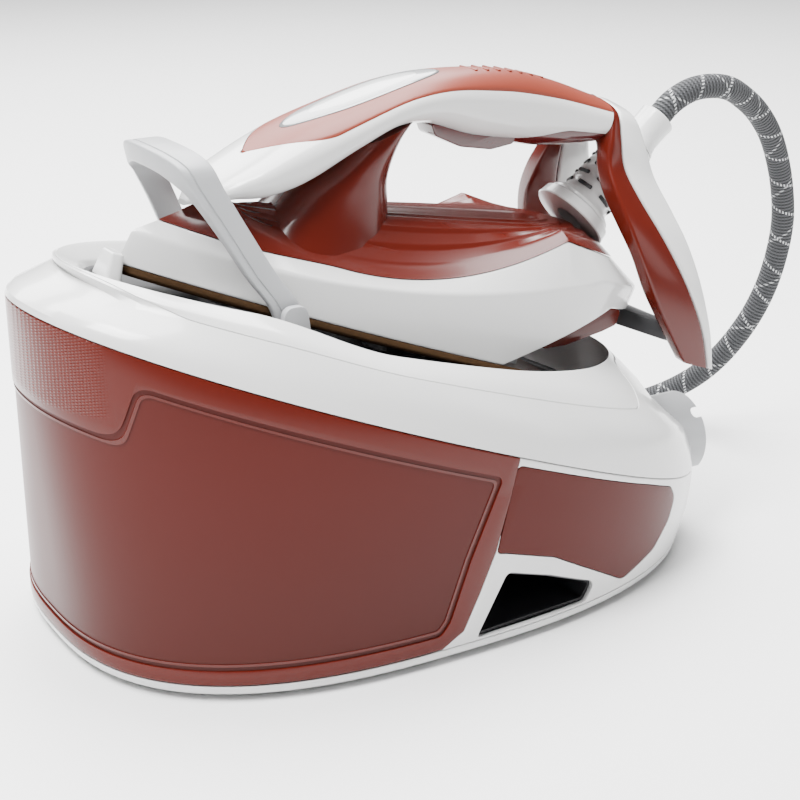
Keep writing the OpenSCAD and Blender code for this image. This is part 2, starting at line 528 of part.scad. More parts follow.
module iron_screws() placed() color(steel) iron_place() for (p = [[-70, 0], [40, 28], [40, -28]])
    translate([p[0], p[1], sole_top + heater_thick + 0.1]) cylinder(d = 8, h = 3);
// Stations of one leg: outer y and w, inner y and w, front u, rear u
heel_half = [[60, 20, 51, 21, 150, 171], [60, 36, 51, 36, 131, 163], [58.5, 51, 49, 50, 118, 154],
    [56, 66, 46.5, 65, 99, 144], [49, 80, 39.5, 77, 94, 135], [40, 93, 30, 89, 88, 127.5], [31, 106, 22, 101, 84.3, 117],
    [27, 120, 17, 112, 84.3, 108], [20, 132, 10, 116.5, 84.3, 101]];
function heel_section(p, side) = [[p[4], side * p[0], p[1]], [p[5], side * p[0], p[1]],
    [p[5], side * p[2], p[3]], [p[4], side * p[2], p[3]]];
module heel_arch() placed() color(copper) meshed() iron_place() sections([for (p = heel_half) heel_section(p, -1),
    heel_section([0, 136.5, 0, 117, 84.3, 99], -1), for (i = [len(heel_half) - 1 : -1 : 0]) heel_section(heel_half[i], 1)]);

// ---- hose ----
mouth_u = 132.6;
mouth_w = 135.5;
sleeve_pitch = 60;
sleeve_length = 66;
collar_length = 20;
hose_exit = iron_point(mouth_u, mouth_w);
module hose_axis() iron_place() translate([mouth_u, 0, mouth_w]) rotate([0, 90 - sleeve_pitch, 0]) children();
module hose_sleeve() placed() color(white) hose_axis() translate([0, 0, -sleeve_length]) rotate_extrude($fn = 48)
    polygon([[hose_d / 2 + 0.3, 0], [18, 0], [18, 2.5], [14.5, 5], [13.5, 16], [11.5, sleeve_length - collar_length - 0.3],
        [hose_d / 2 + 0.3, sleeve_length - collar_length - 0.3]]);
module rear_cover() placed() color(white) hose_axis() translate([0, 0, -sleeve_length - 4.2]) rotate_extrude($fn = 48)
    polygon([[hose_d / 2 + 1, -2.4], [21, -2.4], [20, 4], [hose_d / 2 + 1, 4]]);
module hose_collar() placed() color(white) hose_axis() translate([0, 0, -collar_length]) rotate_extrude($fn = 48)
    polygon([[hose_d / 2 - 2, 0], [hose_d / 2 + 5, 0], [hose_d / 2 + 3, 6], [hose_d / 2 + 3.5, collar_length],
        [hose_d / 2 - 2, collar_length]]);
// Shift that puts the middle of the object, without its hose, at the origin
datum_x = (base_front - hose_exit[0] - (hose_d / 2 + 3.5) * sin(sleeve_pitch - iron_tilt)) / 2;
module placed() translate([datum_x, 0, 0]) children();
// Route of the free hose from the iron to the floor
run_points = [[181, 0, 220.5], [193, 0, 225.5], [206, 0, 226.5], [220, 1, 224], [234, 4, 217], [248, 7, 207],
    [261, 10, 193], [272, 14, 176], [280, 17, 157], [285, 20, 137], [286, 24, 116], [284, 29, 95], [279, 36, 74],
    [271, 46, 53], [262, 58, 36], [250, 73, 22], [236, 89, 12], [219, 104, 7.5], [200, 117, 6.5]];
// Route of the hose along the floor to the coil
floor_points = [[199.2, 117.5, 6.5], [178, 128, 6.5], [152, 136, 6.5], [122, 141, 6.5], [90, 143, 6.5], [66, 143, 6.5], [44, 143, 6.5]];
// Route of the hose from the coil to the base
tail_points = [[80, 184, 19.5], [88, 172, 20], [101, 160, 21], [114, 148, 23], [122, 136, 25], [128, 120, 27],
    [130, 108, 28], gland_at];
coil_at = [0, 215, 0];
module hose_run() placed() color("#6d6f72") tube(concat([hose_exit], run_points), hose_d, 10, [0, 1, 0]);
module hose_coil() placed() color("#6d6f72") translate(coil_at) rotate_extrude($fn = 64)
    translate([coil_r, hose_d]) square([hose_d, 2 * hose_d], center = true);
module hose_floor() placed() color("#6d6f72") tube(floor_points, hose_d, 10, [0, 0, 1]);
module hose_tail() placed() color("#6d6f72") tube(tail_points, hose_d, 10, [0, 0, 1]);

bottom_pan();
frame_left();
frame_right();
side_panel_left();
side_panel_right();
cord_tunnel();
deck_cover();
rest_tray();
rest_pads();
nose_stop();
lock_pins();
boiler();
boiler_heater();
boiler_thermostat();
steam_valve();
pump();
pump_mounts();
water_tube();
steam_pipe();
control_board();
tank_socket();
socket_seal();
hose_gland();
power_gland();
control_panel();
panel_lights();
feet();
base_screws();
scale_cap();
power_button();
eco_button();
lock_arch();
tank_shell();
tank_lid();
tank_frame();
tank_grip();
tank_valve();
soleplate();
sole_heater();
skirt();
body_top();
front_column();
heel_base();
rear_cover();
handle_shell();
grip_inlay();
top_lens();
heel_arch();
heel_strut();
hose_sleeve();
hose_collar();
microswitch();
iron_thermostat();
trigger_pin();
steam_trigger();
iron_screws();
hose_run();
hose_floor();
hose_coil();
hose_tail();
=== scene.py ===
import math

import bpy
import numpy as np
from mathutils import Matrix, Vector


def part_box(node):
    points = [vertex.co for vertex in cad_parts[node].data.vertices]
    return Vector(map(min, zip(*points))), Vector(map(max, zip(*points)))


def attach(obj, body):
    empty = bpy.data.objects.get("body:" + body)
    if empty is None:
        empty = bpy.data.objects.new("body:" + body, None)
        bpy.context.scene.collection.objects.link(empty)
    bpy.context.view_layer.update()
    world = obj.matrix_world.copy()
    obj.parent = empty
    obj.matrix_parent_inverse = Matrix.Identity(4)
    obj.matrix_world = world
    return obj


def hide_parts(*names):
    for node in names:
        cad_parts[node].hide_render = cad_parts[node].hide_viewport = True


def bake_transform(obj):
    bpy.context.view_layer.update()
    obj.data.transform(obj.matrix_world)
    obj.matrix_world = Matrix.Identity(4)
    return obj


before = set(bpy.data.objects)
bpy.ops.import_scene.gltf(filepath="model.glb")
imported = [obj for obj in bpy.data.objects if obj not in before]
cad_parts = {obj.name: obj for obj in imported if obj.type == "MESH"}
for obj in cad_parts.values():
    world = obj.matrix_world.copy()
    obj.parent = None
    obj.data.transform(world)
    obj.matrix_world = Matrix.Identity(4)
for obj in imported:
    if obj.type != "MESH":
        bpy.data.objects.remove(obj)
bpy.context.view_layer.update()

# Lengths below are in millimetres, in the base's own frame; SHIFT carries them into the model's frame
MM = 0.001
LEAD_END = 173
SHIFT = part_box("power_gland")[1].x - LEAD_END * MM


def smooth(t):
    """0 up to 0 and 1 from 1 on, with a soft rise between."""
    t = np.clip(t, 0, 1)
    return t * t * (3 - 2 * t)


def mix(a, b, t):
    return a + (b - a) * t


def spow(v, e):
    """A power that keeps the sign."""
    return np.sign(v) * np.abs(v) ** e


def bend(a, b, c, t):
    """Point at t on the curve from a to c that leans towards b."""
    return (1 - t) ** 2 * a + 2 * t * (1 - t) * b + t * t * c


def spline(a, b, c, d, t):
    """Point at t between b and c, on the smooth curve through all four."""
    return 0.5 * (2 * b + (c - a) * t + (2 * a - 5 * b + 4 * c - d) * t**2 + (3 * b - a - 3 * c + d) * t**3)


def along(table, u):
    """Smooth value at u from a short table of places and values."""
    xs, ys = np.array(table, float).T
    slopes = np.gradient(ys, xs)
    i = np.clip(np.searchsorted(xs, u) - 1, 0, len(xs) - 2)
    h = xs[i + 1] - xs[i]
    t = np.clip((u - xs[i]) / h, 0, 1)
    return ((2 * t**3 - 3 * t**2 + 1) * ys[i] + (t**3 - 2 * t**2 + t) * h * slopes[i]
            + (3 * t**2 - 2 * t**3) * ys[i + 1] + (t**3 - t**2) * h * slopes[i + 1])


# ---------------------------------------------------------------- meshes
def to_metres(points):
    """Points in millimetres, in the base's own frame, as metres in the model's frame."""
    return np.array(points, float) * MM + np.array((SHIFT, 0, 0))


def new_object(data, name="piece"):
    obj = bpy.data.objects.new(name, data)
    bpy.context.scene.collection.objects.link(obj)
    return obj


def new_mesh(verts, faces=()):
    data = bpy.data.meshes.new("piece")
    data.from_pydata([list(v) for v in verts], [], [list(f) for f in faces])
    return data


def crisp(obj, angle):
    """Smooth shading, with the edges sharper than the angle in degrees kept crisp."""
    obj.data.polygons.foreach_set("use_smooth", [True] * len(obj.data.polygons))
    obj.data.set_sharp_from_angle(angle=math.radians(angle))
    return obj


def grid_faces(m, n, round_m=False):
    """Faces of m rings of n points; round_m joins the last ring to the first."""
    return [(k * n + i, k * n + (i + 1) % n, ((k + 1) % m) * n + (i + 1) % n, ((k + 1) % m) * n + i)
            for k in range(m if round_m else m - 1) for i in range(n)]


def loft(rings, closed=False, sharp=35):
    """Rings of equal length joined in order; closed joins the last ring to the first, or both get caps."""
    rings = np.array(rings, float)
    m, n, _ = rings.shape
    faces = grid_faces(m, n, round_m=closed)
    if not closed:
        faces.append(tuple(range(n - 1, -1, -1)))
        faces.append(tuple(range((m - 1) * n, m * n)))
    data = new_mesh(to_metres(rings.reshape(-1, 3)), faces)
    data.validate()
    return crisp(new_object(data), sharp)


def apply_modifiers(obj):
    graph = bpy.context.evaluated_depsgraph_get()
    data = bpy.data.meshes.new_from_object(obj.evaluated_get(graph))
    obj.modifiers.clear()
    obj.data = data
    return obj


def cut(obj, tool, how="DIFFERENCE"):
    """Cuts obj by a tool, joins the two (UNION) or keeps what they share (INTERSECT); the tool is used up."""
    m = obj.modifiers.new("cut", "BOOLEAN")
    m.operation = how
    m.solver = "EXACT"
    m.object = tool
    apply_modifiers(obj)
    bpy.data.objects.remove(tool)
    return obj


def soften(obj, width, angle=40, segments=2):
    """Small rounds on the sharp edges, and shading that keeps the flats flat."""
    m = obj.modifiers.new("round", "BEVEL")
    m.width = width * MM
    m.segments = segments
    m.limit_method = "ANGLE"
    m.angle_limit = math.radians(angle)
    apply_modifiers(obj)
    return crisp(obj, 30)


def rounded(points, radii, steps=8):
    """An outline whose corners are replaced by arcs of the given radii."""
    out = []
    n = len(points)
    for i, radius in enumerate(radii):
        a, b, c = (np.array(points[(i + k) % n], float) for k in (-1, 0, 1))
        if radius == 0:
            out.append(b)
            continue
        p, q = (a - b) / np.linalg.norm(a - b), (c - b) / np.linalg.norm(c - b)
        half = math.acos(np.clip(p @ q, -1, 1)) / 2
        reach = min(radius / math.tan(half), 0.49 * np.linalg.norm(a - b), 0.49 * np.linalg.norm(c - b))
        start, end = b + p * reach, b + q * reach
        out += [bend(start, b, end, t) for t in np.linspace(0, 1, steps)]
    return np.array(out)


def wound(points, way):
    """An outline, run the way round that gives its area this sign."""
    p = np.array(points, float)
    area = np.sum(p[:, 0] * np.roll(p[:, 1], -1) - np.roll(p[:, 0], -1) * p[:, 1])
    return p[::-1] if area * way < 0 else p


BEYOND = 200


def prism(outline, y0=-BEYOND, y1=BEYOND):
    """A bar with the given side outline in x and z; it passes both sides of the object unless told."""
    return loft([[(x, y, z) for x, z in wound(outline, -1)] for y in (y0, y1)])


# ---------------------------------------------------------------- materials
def operation(how, swapped=False):
    """Arithmetic between a wire and a number or another wire; swapped puts the wire second."""
    def act(self, other):
        return self.do(how, other, self) if swapped else self.do(how, self, other)
    return act


class Wire:
    """A node's output that takes part in arithmetic."""

    def __init__(self, paint, socket):
        self.paint = paint
        self.socket = socket

    def do(self, how, *terms):
        return self.paint.add("ShaderNodeMath", dict(enumerate(terms)), operation=how)

    __add__, __radd__ = operation("ADD"), operation("ADD", True)
    __sub__, __rsub__ = operation("SUBTRACT"), operation("SUBTRACT", True)
    __mul__, __rmul__ = operation("MULTIPLY"), operation("MULTIPLY", True)
    __truediv__, __rtruediv__ = operation("DIVIDE"), operation("DIVIDE", True)

    def sin(self):
        return self.do("SINE", self)

    def fract(self):
        return self.do("FRACT", self)

    def rise(self, low, high):
        """0 below low, 1 above high, smooth between."""
        return self.paint.add("ShaderNodeMapRange", {"Value": self, "From Min": low, "From Max": high},
                              interpolation_type="SMOOTHSTEP")


class Paint:
    """A procedural material on one Principled shader."""

    def __init__(self, name, colour, rough, **sockets):
        self.material = bpy.data.materials.new(name)
        self.material.use_nodes = True
        self.tree = self.material.node_tree
        self.shader = self.tree.nodes["Principled BSDF"]
        self.set("Base Color", (*colour, 1))
        self.set("Roughness", rough)
        for key, value in sockets.items():
            self.set(key.replace("_", " "), value)

    def add(self, kind, inputs=None, output=0, **settings):
        """A node with its settings made first, then its inputs; gives one of its outputs."""
        made = self.tree.nodes.new(kind)
        for key, value in settings.items():
            setattr(made, key, value)
        for key, value in (inputs or {}).items():
            self.feed(made.inputs[key], value)
        return Wire(self, made.outputs[output])

    def feed(self, socket, value):
        if isinstance(value, Wire):
            self.tree.links.new(value.socket, socket)
        else:
            socket.default_value = value

    def set(self, name, value):
        self.feed(self.shader.inputs[name], value)

    def place(self, output="Object"):
        return self.add("ShaderNodeTexCoord", output=output)

    def parts(self, vector):
        return [self.add("ShaderNodeSeparateXYZ", {0: vector}, output=i) for i in range(3)]

    def noise(self, scale, detail=3.0, vector=None, stretch=None):
        vector = vector or self.place()
        if stretch:
            vector = self.add("ShaderNodeVectorMath", {0: vector, 1: stretch}, operation="MULTIPLY")
        return self.add("ShaderNodeTexNoise", {"Vector": vector, "Scale": scale, "Detail": detail})

    def blend(self, factor, a, b):
        """Colour between a and b."""
        a, b = ((*c, 1) if isinstance(c, tuple) else c for c in (a, b))
        return self.add("ShaderNodeMix", {0: factor, 6: a, 7: b}, output=2, data_type="RGBA")

    def bump(self, height, strength, distance):
        self.set("Normal", self.add("ShaderNodeBump", {"Height": height, "Strength": strength,
                                                       "Distance": distance}))


def moulded(name, colour, rough, peel=0.05, grain=900, shade=0.05, **sockets):
    """Moulded plastic: slight clouding of colour and gloss, and a faint skin texture."""
    paint = Paint(name, colour, rough, **sockets)
    cloud = paint.noise(14)
    darker = tuple(c * (1 - shade) for c in colour)
    paint.set("Base Color", paint.blend(cloud, colour, darker))
    paint.set("Roughness", rough * 0.85 + cloud * (rough * 0.3))
    paint.bump(paint.noise(grain, 2.0), peel, 0.0004)
    return paint


def metal(name, colour, rough, stretch=(1.0, 1.0, 1.0), grain=300):
    """Metal with a drawn or cast grain."""
    paint = Paint(name, colour, rough, Metallic=1.0)
    grains = paint.noise(grain, 4.0, stretch=stretch)
    paint.set("Base Color", paint.blend(grains, colour, tuple(c * 0.82 for c in colour)))
    paint.set("Roughness", rough * 0.8 + grains * (rough * 0.4))
    paint.bump(grains, 0.08, 0.0003)
    return paint


WHITE = moulded("white_gloss", (0.68, 0.68, 0.675), 0.2, 0.02, 500, 0.03, Coat_Weight=0.4,
                Coat_Roughness=0.08)
RED_TONE = (0.085, 0.0085, 0.0045)
RED = moulded("copper_red", RED_TONE, 0.22, 0.02, 500, 0.1, Specular_IOR_Level=0.3, Coat_Weight=0.1,
              Coat_Roughness=0.06)
PANEL_RED = moulded("panel_red", (0.070, 0.0075, 0.0042), 0.35, 0.05, 700, 0.08, Specular_IOR_Level=0.14)
# The grip's insert and ribs: a lighter copy of the copper red, painted light from above.
COPPER_WITH_PAINTED_LIGHT = moulded("salmon", (0.19, 0.036, 0.021), 0.38, 0.06, 900, 0.06, Specular_IOR_Level=0.35)
LIGHT_GREY = moulded("light_grey", (0.37, 0.375, 0.385), 0.34, 0.05)
DARK_GREY = moulded("dark_grey", (0.022, 0.022, 0.024), 0.45, 0.1)
TRIGGER_RED = moulded("trigger_red", (0.06, 0.005, 0.005), 0.22, 0.03, Coat_Weight=0.4)
SILICONE = moulded("silicone", (0.20, 0.035, 0.028), 0.6, 0.1)
PUMP_BODY = moulded("pump_body", (0.60, 0.60, 0.57), 0.4, 0.05)
RUBBER = moulded("rubber", (0.03, 0.03, 0.03), 0.75, 0.3, 1500)
BOARD = moulded("board_green", (0.03, 0.12, 0.05), 0.4, 0.08)
GREEN = moulded("button_green", (0.10, 0.34, 0.10), 0.35, 0.04)
STEEL = metal("steel", (0.62, 0.62, 0.63), 0.3, (0.05, 1.0, 1.0))
ALLOY = metal("cast_alloy", (0.36, 0.37, 0.38), 0.55, grain=900)
BRASS = metal("brass", (0.62, 0.42, 0.18), 0.32)
SOLE = metal("sole_gold", (0.075, 0.042, 0.022), 0.34, (1.0, 0.08, 1.0), 500)
LENS = moulded("lens_grey", (0.36, 0.37, 0.375), 0.14, 0.02, Coat_Weight=0.6, Coat_Roughness=0.04)
# Pale grey for the lens's inner oval: a painted highlight, a lighter copy of the lens grey.
LENS_PAINTED_HIGHLIGHT = moulded("lens_painted_highlight", (0.58, 0.59, 0.59), 0.18, 0.02, Coat_Weight=0.6, Coat_Roughness=0.04)
AMBER = Paint("amber", (0.75, 0.38, 0.05), 0.25, Transmission_Weight=0.3, Coat_Weight=0.5)
AMBER.set("Roughness", AMBER.noise(600) * 0.2 + 0.15)


def tank_plastic():
    """Clear red plastic, painted darker towards the bottom and lighter towards the top as painted shade."""
    paint = Paint("clear_red", (0.09, 0.012, 0.008), 0.2, Specular_IOR_Level=0.14)
    height = paint.parts(paint.place())[2]
    cloud = paint.noise(20)
    # Painted shade: the lower part of the tank darker red, the upper part lighter.
    low, high = (0.062, 0.011, 0.008), (0.075, 0.012, 0.009)
    paint.set("Base Color", paint.blend(height.rise(0.02, 0.12), low, high))
    paint.set("Roughness", cloud * 0.06 + 0.29)
    paint.bump(paint.noise(300), 0.03, 0.0005)
    return paint


def pebbled():
    """Gloss red with a band of slanting pebbles round the finger grip at the front."""
    edge, soft, low, high, pitch = -0.1655, 0.004, 0.126, 0.130, 2300
    paint = Paint("pebbled_red", RED_TONE, 0.22, Specular_IOR_Level=0.22, Coat_Weight=0.04)
    x, y, z = paint.parts(paint.place())
    front = (1 - (x - SHIFT).rise(edge - soft, edge + soft)) * z.rise(low, high)
    rows = ((x + z) * pitch).sin()
    lines = ((z - x + y * 0.5) * pitch).sin()
    bumps = (rows * lines).rise(-0.2, 0.8) * front
    paint.set("Base Color", paint.blend(bumps, RED_TONE, (0.115, 0.015, 0.009)))
    paint.set("Roughness", front * 0.06 + 0.2 - bumps * 0.03)
    paint.bump(bumps, 0.4, 0.0006)
    return paint


def braided():
    """Woven hose cover: fine rings with pale flecks that wind round it."""
    paint = Paint("hose_braid", (0.09, 0.092, 0.098), 0.7)
    ring_pitch, strands = 0.0021, 22
    u, v, _ = paint.parts(paint.place("UV"))
    rings = (u * (2 * math.pi / ring_pitch)).sin()
    weave = (v * (2 * math.pi * strands)).sin()
    threads = rings * (weave * 0.35 + 0.65)
    winding = (u / 0.019 + v).fract()
    second = (u / 0.031 - v).fract()
    fleck = winding.rise(0.90, 0.93) * weave.rise(-0.2, 0.4)
    other = second.rise(0.94, 0.96) * rings.rise(-0.4, 0.3)
    base = paint.blend(threads.rise(-0.9, 0.9), (0.014, 0.015, 0.016), (0.072, 0.074, 0.080))
    paint.set("Base Color", paint.blend(fleck + other * 0.6, base, (0.62, 0.63, 0.64)))
    paint.set("Roughness", 0.82 - threads * 0.08)
    paint.bump(threads, 0.8, 0.0006)
    return paint


CLEAR_RED = tank_plastic()
PEBBLED = pebbled()
BRAID = braided()


def finish_with(obj, paint):
    obj.data.materials.clear()
    obj.data.materials.append(paint.material)
    return obj


# ---------------------------------------------------------------- base: outlines
SIDES = 224
TURN = np.linspace(0, 2 * math.pi, SIDES, endpoint=False)
SEAM_HEIGHT, SEAM_SLOPE, SEAM_LOW = 98.3, 0.38, 44.5
SEAM_BEND = 6
PAN_LOW, PAN_HEIGHT = 1.5, 8
WALL, WALL_BULGE = 2.5, 12
WALL_STEPS, WALL_LIP = 14, 0.8
CREST = 133.9
# Each outline: middle, reach to the front and to the rear, half width, front and rear roundness
SEAM_EGG = [18.4, 201.9, 151.1, 115, 2.05, 2.45]
PAN_EGG = [-18, 158.7, 184, 115, 2.65, 2.45]
# The iron lies at a tilt on its tray, and the lock arch turns about its own axis
TILT = math.radians(20)
IRON_X, IRON_Z, TRAY_DROP = 1, 131, 9
LOCK_X, LOCK_Z, LOCK_HALF = -73, 158, 45.5


def egg(p):
    c, s = np.cos(TURN), np.sin(TURN)
    e = np.where(c < 0, 2 / p[4], 2 / p[5])
    return p[0] + np.where(c < 0, p[1], p[2]) * spow(c, e), p[3] * spow(s, e)


def grown(p, d):
    """The outline p, d wider all round."""
    return [p[0], p[1] + d, p[2] + d, p[3] + d, p[4], p[5]]


def seam_z(x):
    """Height of the seam between wall and deck: it falls towards the rear, then runs level."""
    d = SEAM_HEIGHT - SEAM_SLOPE * x - SEAM_LOW
    return SEAM_LOW + (d + np.sqrt(d * d + SEAM_BEND**2)) / 2


def ring(x, y, z):
    return np.stack([x, y, z + 0 * x], axis=-1)


def flat_ring(p, z):
    return ring(*egg(p), z)


def wall_ring(s, d, lift=0.0):
    """Ring of the side wall at a share s of the way from pan to seam, d outside its skin."""
    outline = [mix(a, b, s) for a, b in zip(PAN_EGG, SEAM_EGG)]
    outline[2] += WALL_BULGE * s * (1 - s)
    x, y = egg(grown(outline, d))
    return ring(x, y, mix(PAN_HEIGHT, seam_z(x), s) + lift)


def eased(rings, reach, closed=False, steps=5):
    """Rings with a small round in place of each one that has a reach."""
    out = []
    n = len(rings)
    for i, r in enumerate(reach):
        here = rings[i]
        if r == 0 or (not closed and i in (0, n - 1)):
            out.append(here)
            continue
        a, c = rings[i - 1] - here, rings[(i + 1) % n] - here
        la = np.linalg.norm(a, axis=1, keepdims=True) + 1e-6
        lc = np.linalg.norm(c, axis=1, keepdims=True) + 1e-6
        p = here + a * np.minimum(r / la, 0.45)
        q = here + c * np.minimum(r / lc, 0.45)
        out += [bend(p, here, q, t) for t in np.linspace(0, 1, steps)]
    return np.array(out)


def wall_shell(outer, inner, low=0.0, high=0.0):
    """The side wall between two offsets, with its two rims rounded and lifted a little."""
    middle = [0] * (WALL_STEPS - 2)
    stations = list(zip(np.linspace(0, 1, WALL_STEPS), [low, *middle, high]))
    out, back = ([wall_ring(s, d, lift) for s, lift in stations] for d in (outer, inner))
    rounds = [WALL_LIP, *middle, WALL_LIP]
    return loft(eased(out + back[::-1], rounds + rounds, closed=True), closed=True)


def widened(points, d):
    """A side outline moved outwards by d, or inwards if d is negative."""
    p = wound(points, 1)
    a = p - np.roll(p, 1, axis=0)
    b = np.roll(p, -1, axis=0) - p
    na = np.stack([a[:, 1], -a[:, 0]], 1) / np.linalg.norm(a, axis=1)[:, None]
    nb = np.stack([b[:, 1], -b[:, 0]], 1) / np.linalg.norm(b, axis=1)[:, None]
    m = na + nb
    return p + d * m / np.maximum(0.3, (m * nb).sum(1))[:, None]


# ---------------------------------------------------------------- base: housing
TANK_EDGE = [(-33, 8.2), (-21, 15), (-12, 33), (-4, 51), (3, 74), (8.5, 95), (13, 125)]
FAR = 300
PANEL_END = 117
PANEL_SIDE = rounded([(-3.0, 50), (7.6, 91), (PANEL_END - 25, seam_z(PANEL_END - 25) - 4),
                      (PANEL_END - 6, 52), (PANEL_END, 44), (PANEL_END - 3, 32), (PANEL_END - 14, 20),
                      (78, 12.5), (62, 22), (30, 40), (2, 49)], [3, 3, 9, 6, 8, 10, 10, 8, 20, 20, 6])
TUNNEL_SIDE = rounded([(-14, 9), (3, 39), (28, 31), (58, 18.5), (52, 9)], [2, 4, 6, 6, 4])
GLAND_AT, GLAND_D = (130, 101, 28), 22
LEAD_AT, LEAD_BUSH = (LEAD_END, 40, 28), 18
CAP_Y, CAP_Z, CAP_D, CAP_FACE, BOSS_END = -38, 50, 44, 168, 134
PANEL_AT, PANEL_LEAN, PANEL_SPACE, PANEL_SINK = (70, 87, 114), (-22, 16.5), (56.6, 22.6, 20), 6
FOOT_SPOTS, FOOT_HOLE = ((-110, 62), (-110, -62), (112, 62), (112, -62)), 18.4
SCREW_SPOTS, SCREW_HOLE = ((-60, 88), (-60, -88), (80, 84), (80, -84)), 4.4


def lathe_rings(profile, at, axis, sides):
    """Rings of a profile of (radius, distance along the axis) turned about an axis through a point."""
    way = np.array(axis, float) / np.linalg.norm(axis)
    side = np.cross((0, 0, 1) if abs(way[2]) < 0.9 else (1, 0, 0), way)
    side /= np.linalg.norm(side)
    other = np.cross(way, side)
    a = np.linspace(0, 2 * math.pi, sides, endpoint=False)[:, None]
    return [np.array(at) + way * h + r * (side * np.cos(a) + other * np.sin(a)) for r, h in profile]


def rod(at, axis, d, length):
    return loft(lathe_rings([(d / 2, 0), (d / 2, length)], at, axis, 64))


def bottom_pan():
    rings = [flat_ring(grown(PAN_EGG, -5), PAN_LOW), flat_ring(grown(PAN_EGG, -1), PAN_LOW + 2),
             flat_ring(PAN_EGG, PAN_HEIGHT - 0.2), flat_ring(grown(PAN_EGG, -WALL), PAN_HEIGHT - 0.2),
             flat_ring(grown(PAN_EGG, -WALL - 2), PAN_LOW + WALL)]
    pan = loft(eased(rings, [0, 2.5, 0.8, 0.6, 0]))
    for spots, d, depth in ((FOOT_SPOTS, FOOT_HOLE, 2.5), (SCREW_SPOTS, SCREW_HOLE, 20)):
        for x, y in spots:
            cut(pan, rod((x, y, 0), (0, 0, 1), d, depth))
    return pan


def cap_opening():
    """Round hole for the scale collector cap."""
    return rod((BOSS_END + 4, CAP_Y, CAP_Z), (1, 0, 0), CAP_D + 1.6, 80)


def rear_frame():
    """Wall behind the tank, open for the side panels, the tunnel, both glands and the cap."""
    shell = wall_shell(0, -WALL, 0, -0.5)
    tank = [(x + 0.4, z) for x, z in TANK_EDGE] + [(-FAR, FAR), (-FAR, 0)]
    for side in (tank, widened(PANEL_SIDE, 0.5), TUNNEL_SIDE):
        cut(shell, prism(side))
    cut(shell, rod((GLAND_AT[0], 60, GLAND_AT[2]), (0, 1, 0), GLAND_D + 0.4, 60))
    cut(shell, rod((LEAD_AT[0] - 19, LEAD_AT[1], LEAD_AT[2]), (1, 0, 0), LEAD_BUSH + 0.4, 60))
    cut(shell, cap_opening())
    return soften(shell, 0.7, 50)


def side_panel(side):
    shell = wall_shell(0, -WALL, 0, -0.5)
    reach = (0, BEYOND) if side > 0 else (-BEYOND, 0)
    cut(shell, prism(PANEL_SIDE, *reach), "INTERSECT")
    return soften(shell, 1.1, 50, 3)


def wall_half(x, z, d):
    """Half width of the side wall at x and z, d outside its skin."""
    s = (z - PAN_HEIGHT) / (seam_z(x) - PAN_HEIGHT)
    middle, front, rear, half, p, q = (mix(a, b, s) for a, b in zip(PAN_EGG, SEAM_EGG))
    power = np.where(x < middle, p, q)
    reach = np.where(x < middle, front, rear + WALL_BULGE * s * (1 - s)) + d
    return (half + d) * (1 - np.minimum(1, np.abs(x - middle) / reach) ** power) ** (1 / power)


def cord_tunnel():
    """Sleeve right through the base, its ends following the side walls."""
    outer, inner = (widened(TUNNEL_SIDE, d)[::-1] for d in (0, -1.6))

    def row(flat, side):
        x, z = flat.T
        return np.stack([x, side * wall_half(x, z, -WALL - 0.3), z], axis=-1)

    return loft([row(outer, -1), row(outer, 1), row(inner, 1), row(inner, -1)], closed=True)


# ---------------------------------------------------------------- base: deck and rest
DECK = [(SEAM_EGG, SEAM_HEIGHT, SEAM_SLOPE, 0),
        (grown(SEAM_EGG, -4), SEAM_HEIGHT + 14.7, 0.335, 0),
        ([19.3, 179.5, 126.7, 105, 2.15, 2.4], SEAM_HEIGHT + 25.3, 0.33, 0.2),
        ([17.4, 178.5, 122, 100, 2.05, 2.1], CREST - 4.4, 0.295, 0.6),
        ([16, 176, 116, 93.7, 1.9, 1.7], CREST, 0.26, 1)]
TRAY_EGG = [14, 162, 112, 80, 2, 2]


def nose_lift(x):
    return 9 * smooth((-40 - x) / 60)


def deck_ring(k, d=0.0, lift=0.0):
    outline, height, fall, share = DECK[k]
    x, y = egg(grown(outline, d))
    z = seam_z(x) if k == 0 else height - fall * x
    return ring(x, y, z + share * nose_lift(x) + lift)


def tray_z(x):
    return IRON_Z - TRAY_DROP / math.cos(TILT) - x * math.tan(TILT)


def tray_ring(d, lift):
    x, y = egg(grown(TRAY_EGG, d))
    return ring(x, y, tray_z(x) + lift)


def across(rings, u):
    """Points of the smooth surface through the rings, each at its own share u of the way up."""
    rings = np.array(rings)
    n = len(rings)
    i = np.clip(np.floor(u).astype(int), 0, n - 2)
    t = (u - i)[:, None]
    cols = np.arange(rings.shape[1])
    a, b, c, d = (rings[np.clip(i + k, 0, n - 1), cols] for k in (-1, 0, 1, 2))
    return spline(a, b, c, d, t)


def panel_pocket():
    """Space in the deck for the control panel."""
    block = small_block(*PANEL_SPACE, 3)
    about_x, about_y = (math.radians(a) for a in PANEL_LEAN)
    lean = Matrix.Rotation(about_x, 4, "X") @ Matrix.Rotation(about_y, 4, "Y")
    sink = Matrix.Translation((0, 0, -PANEL_SINK * MM))
    block.data.transform(Matrix.Translation(to_metres(PANEL_AT)) @ lean @ sink)
    return block


GROOVE_DEPTH, GROOVE_HALF = 0.8, 0.035


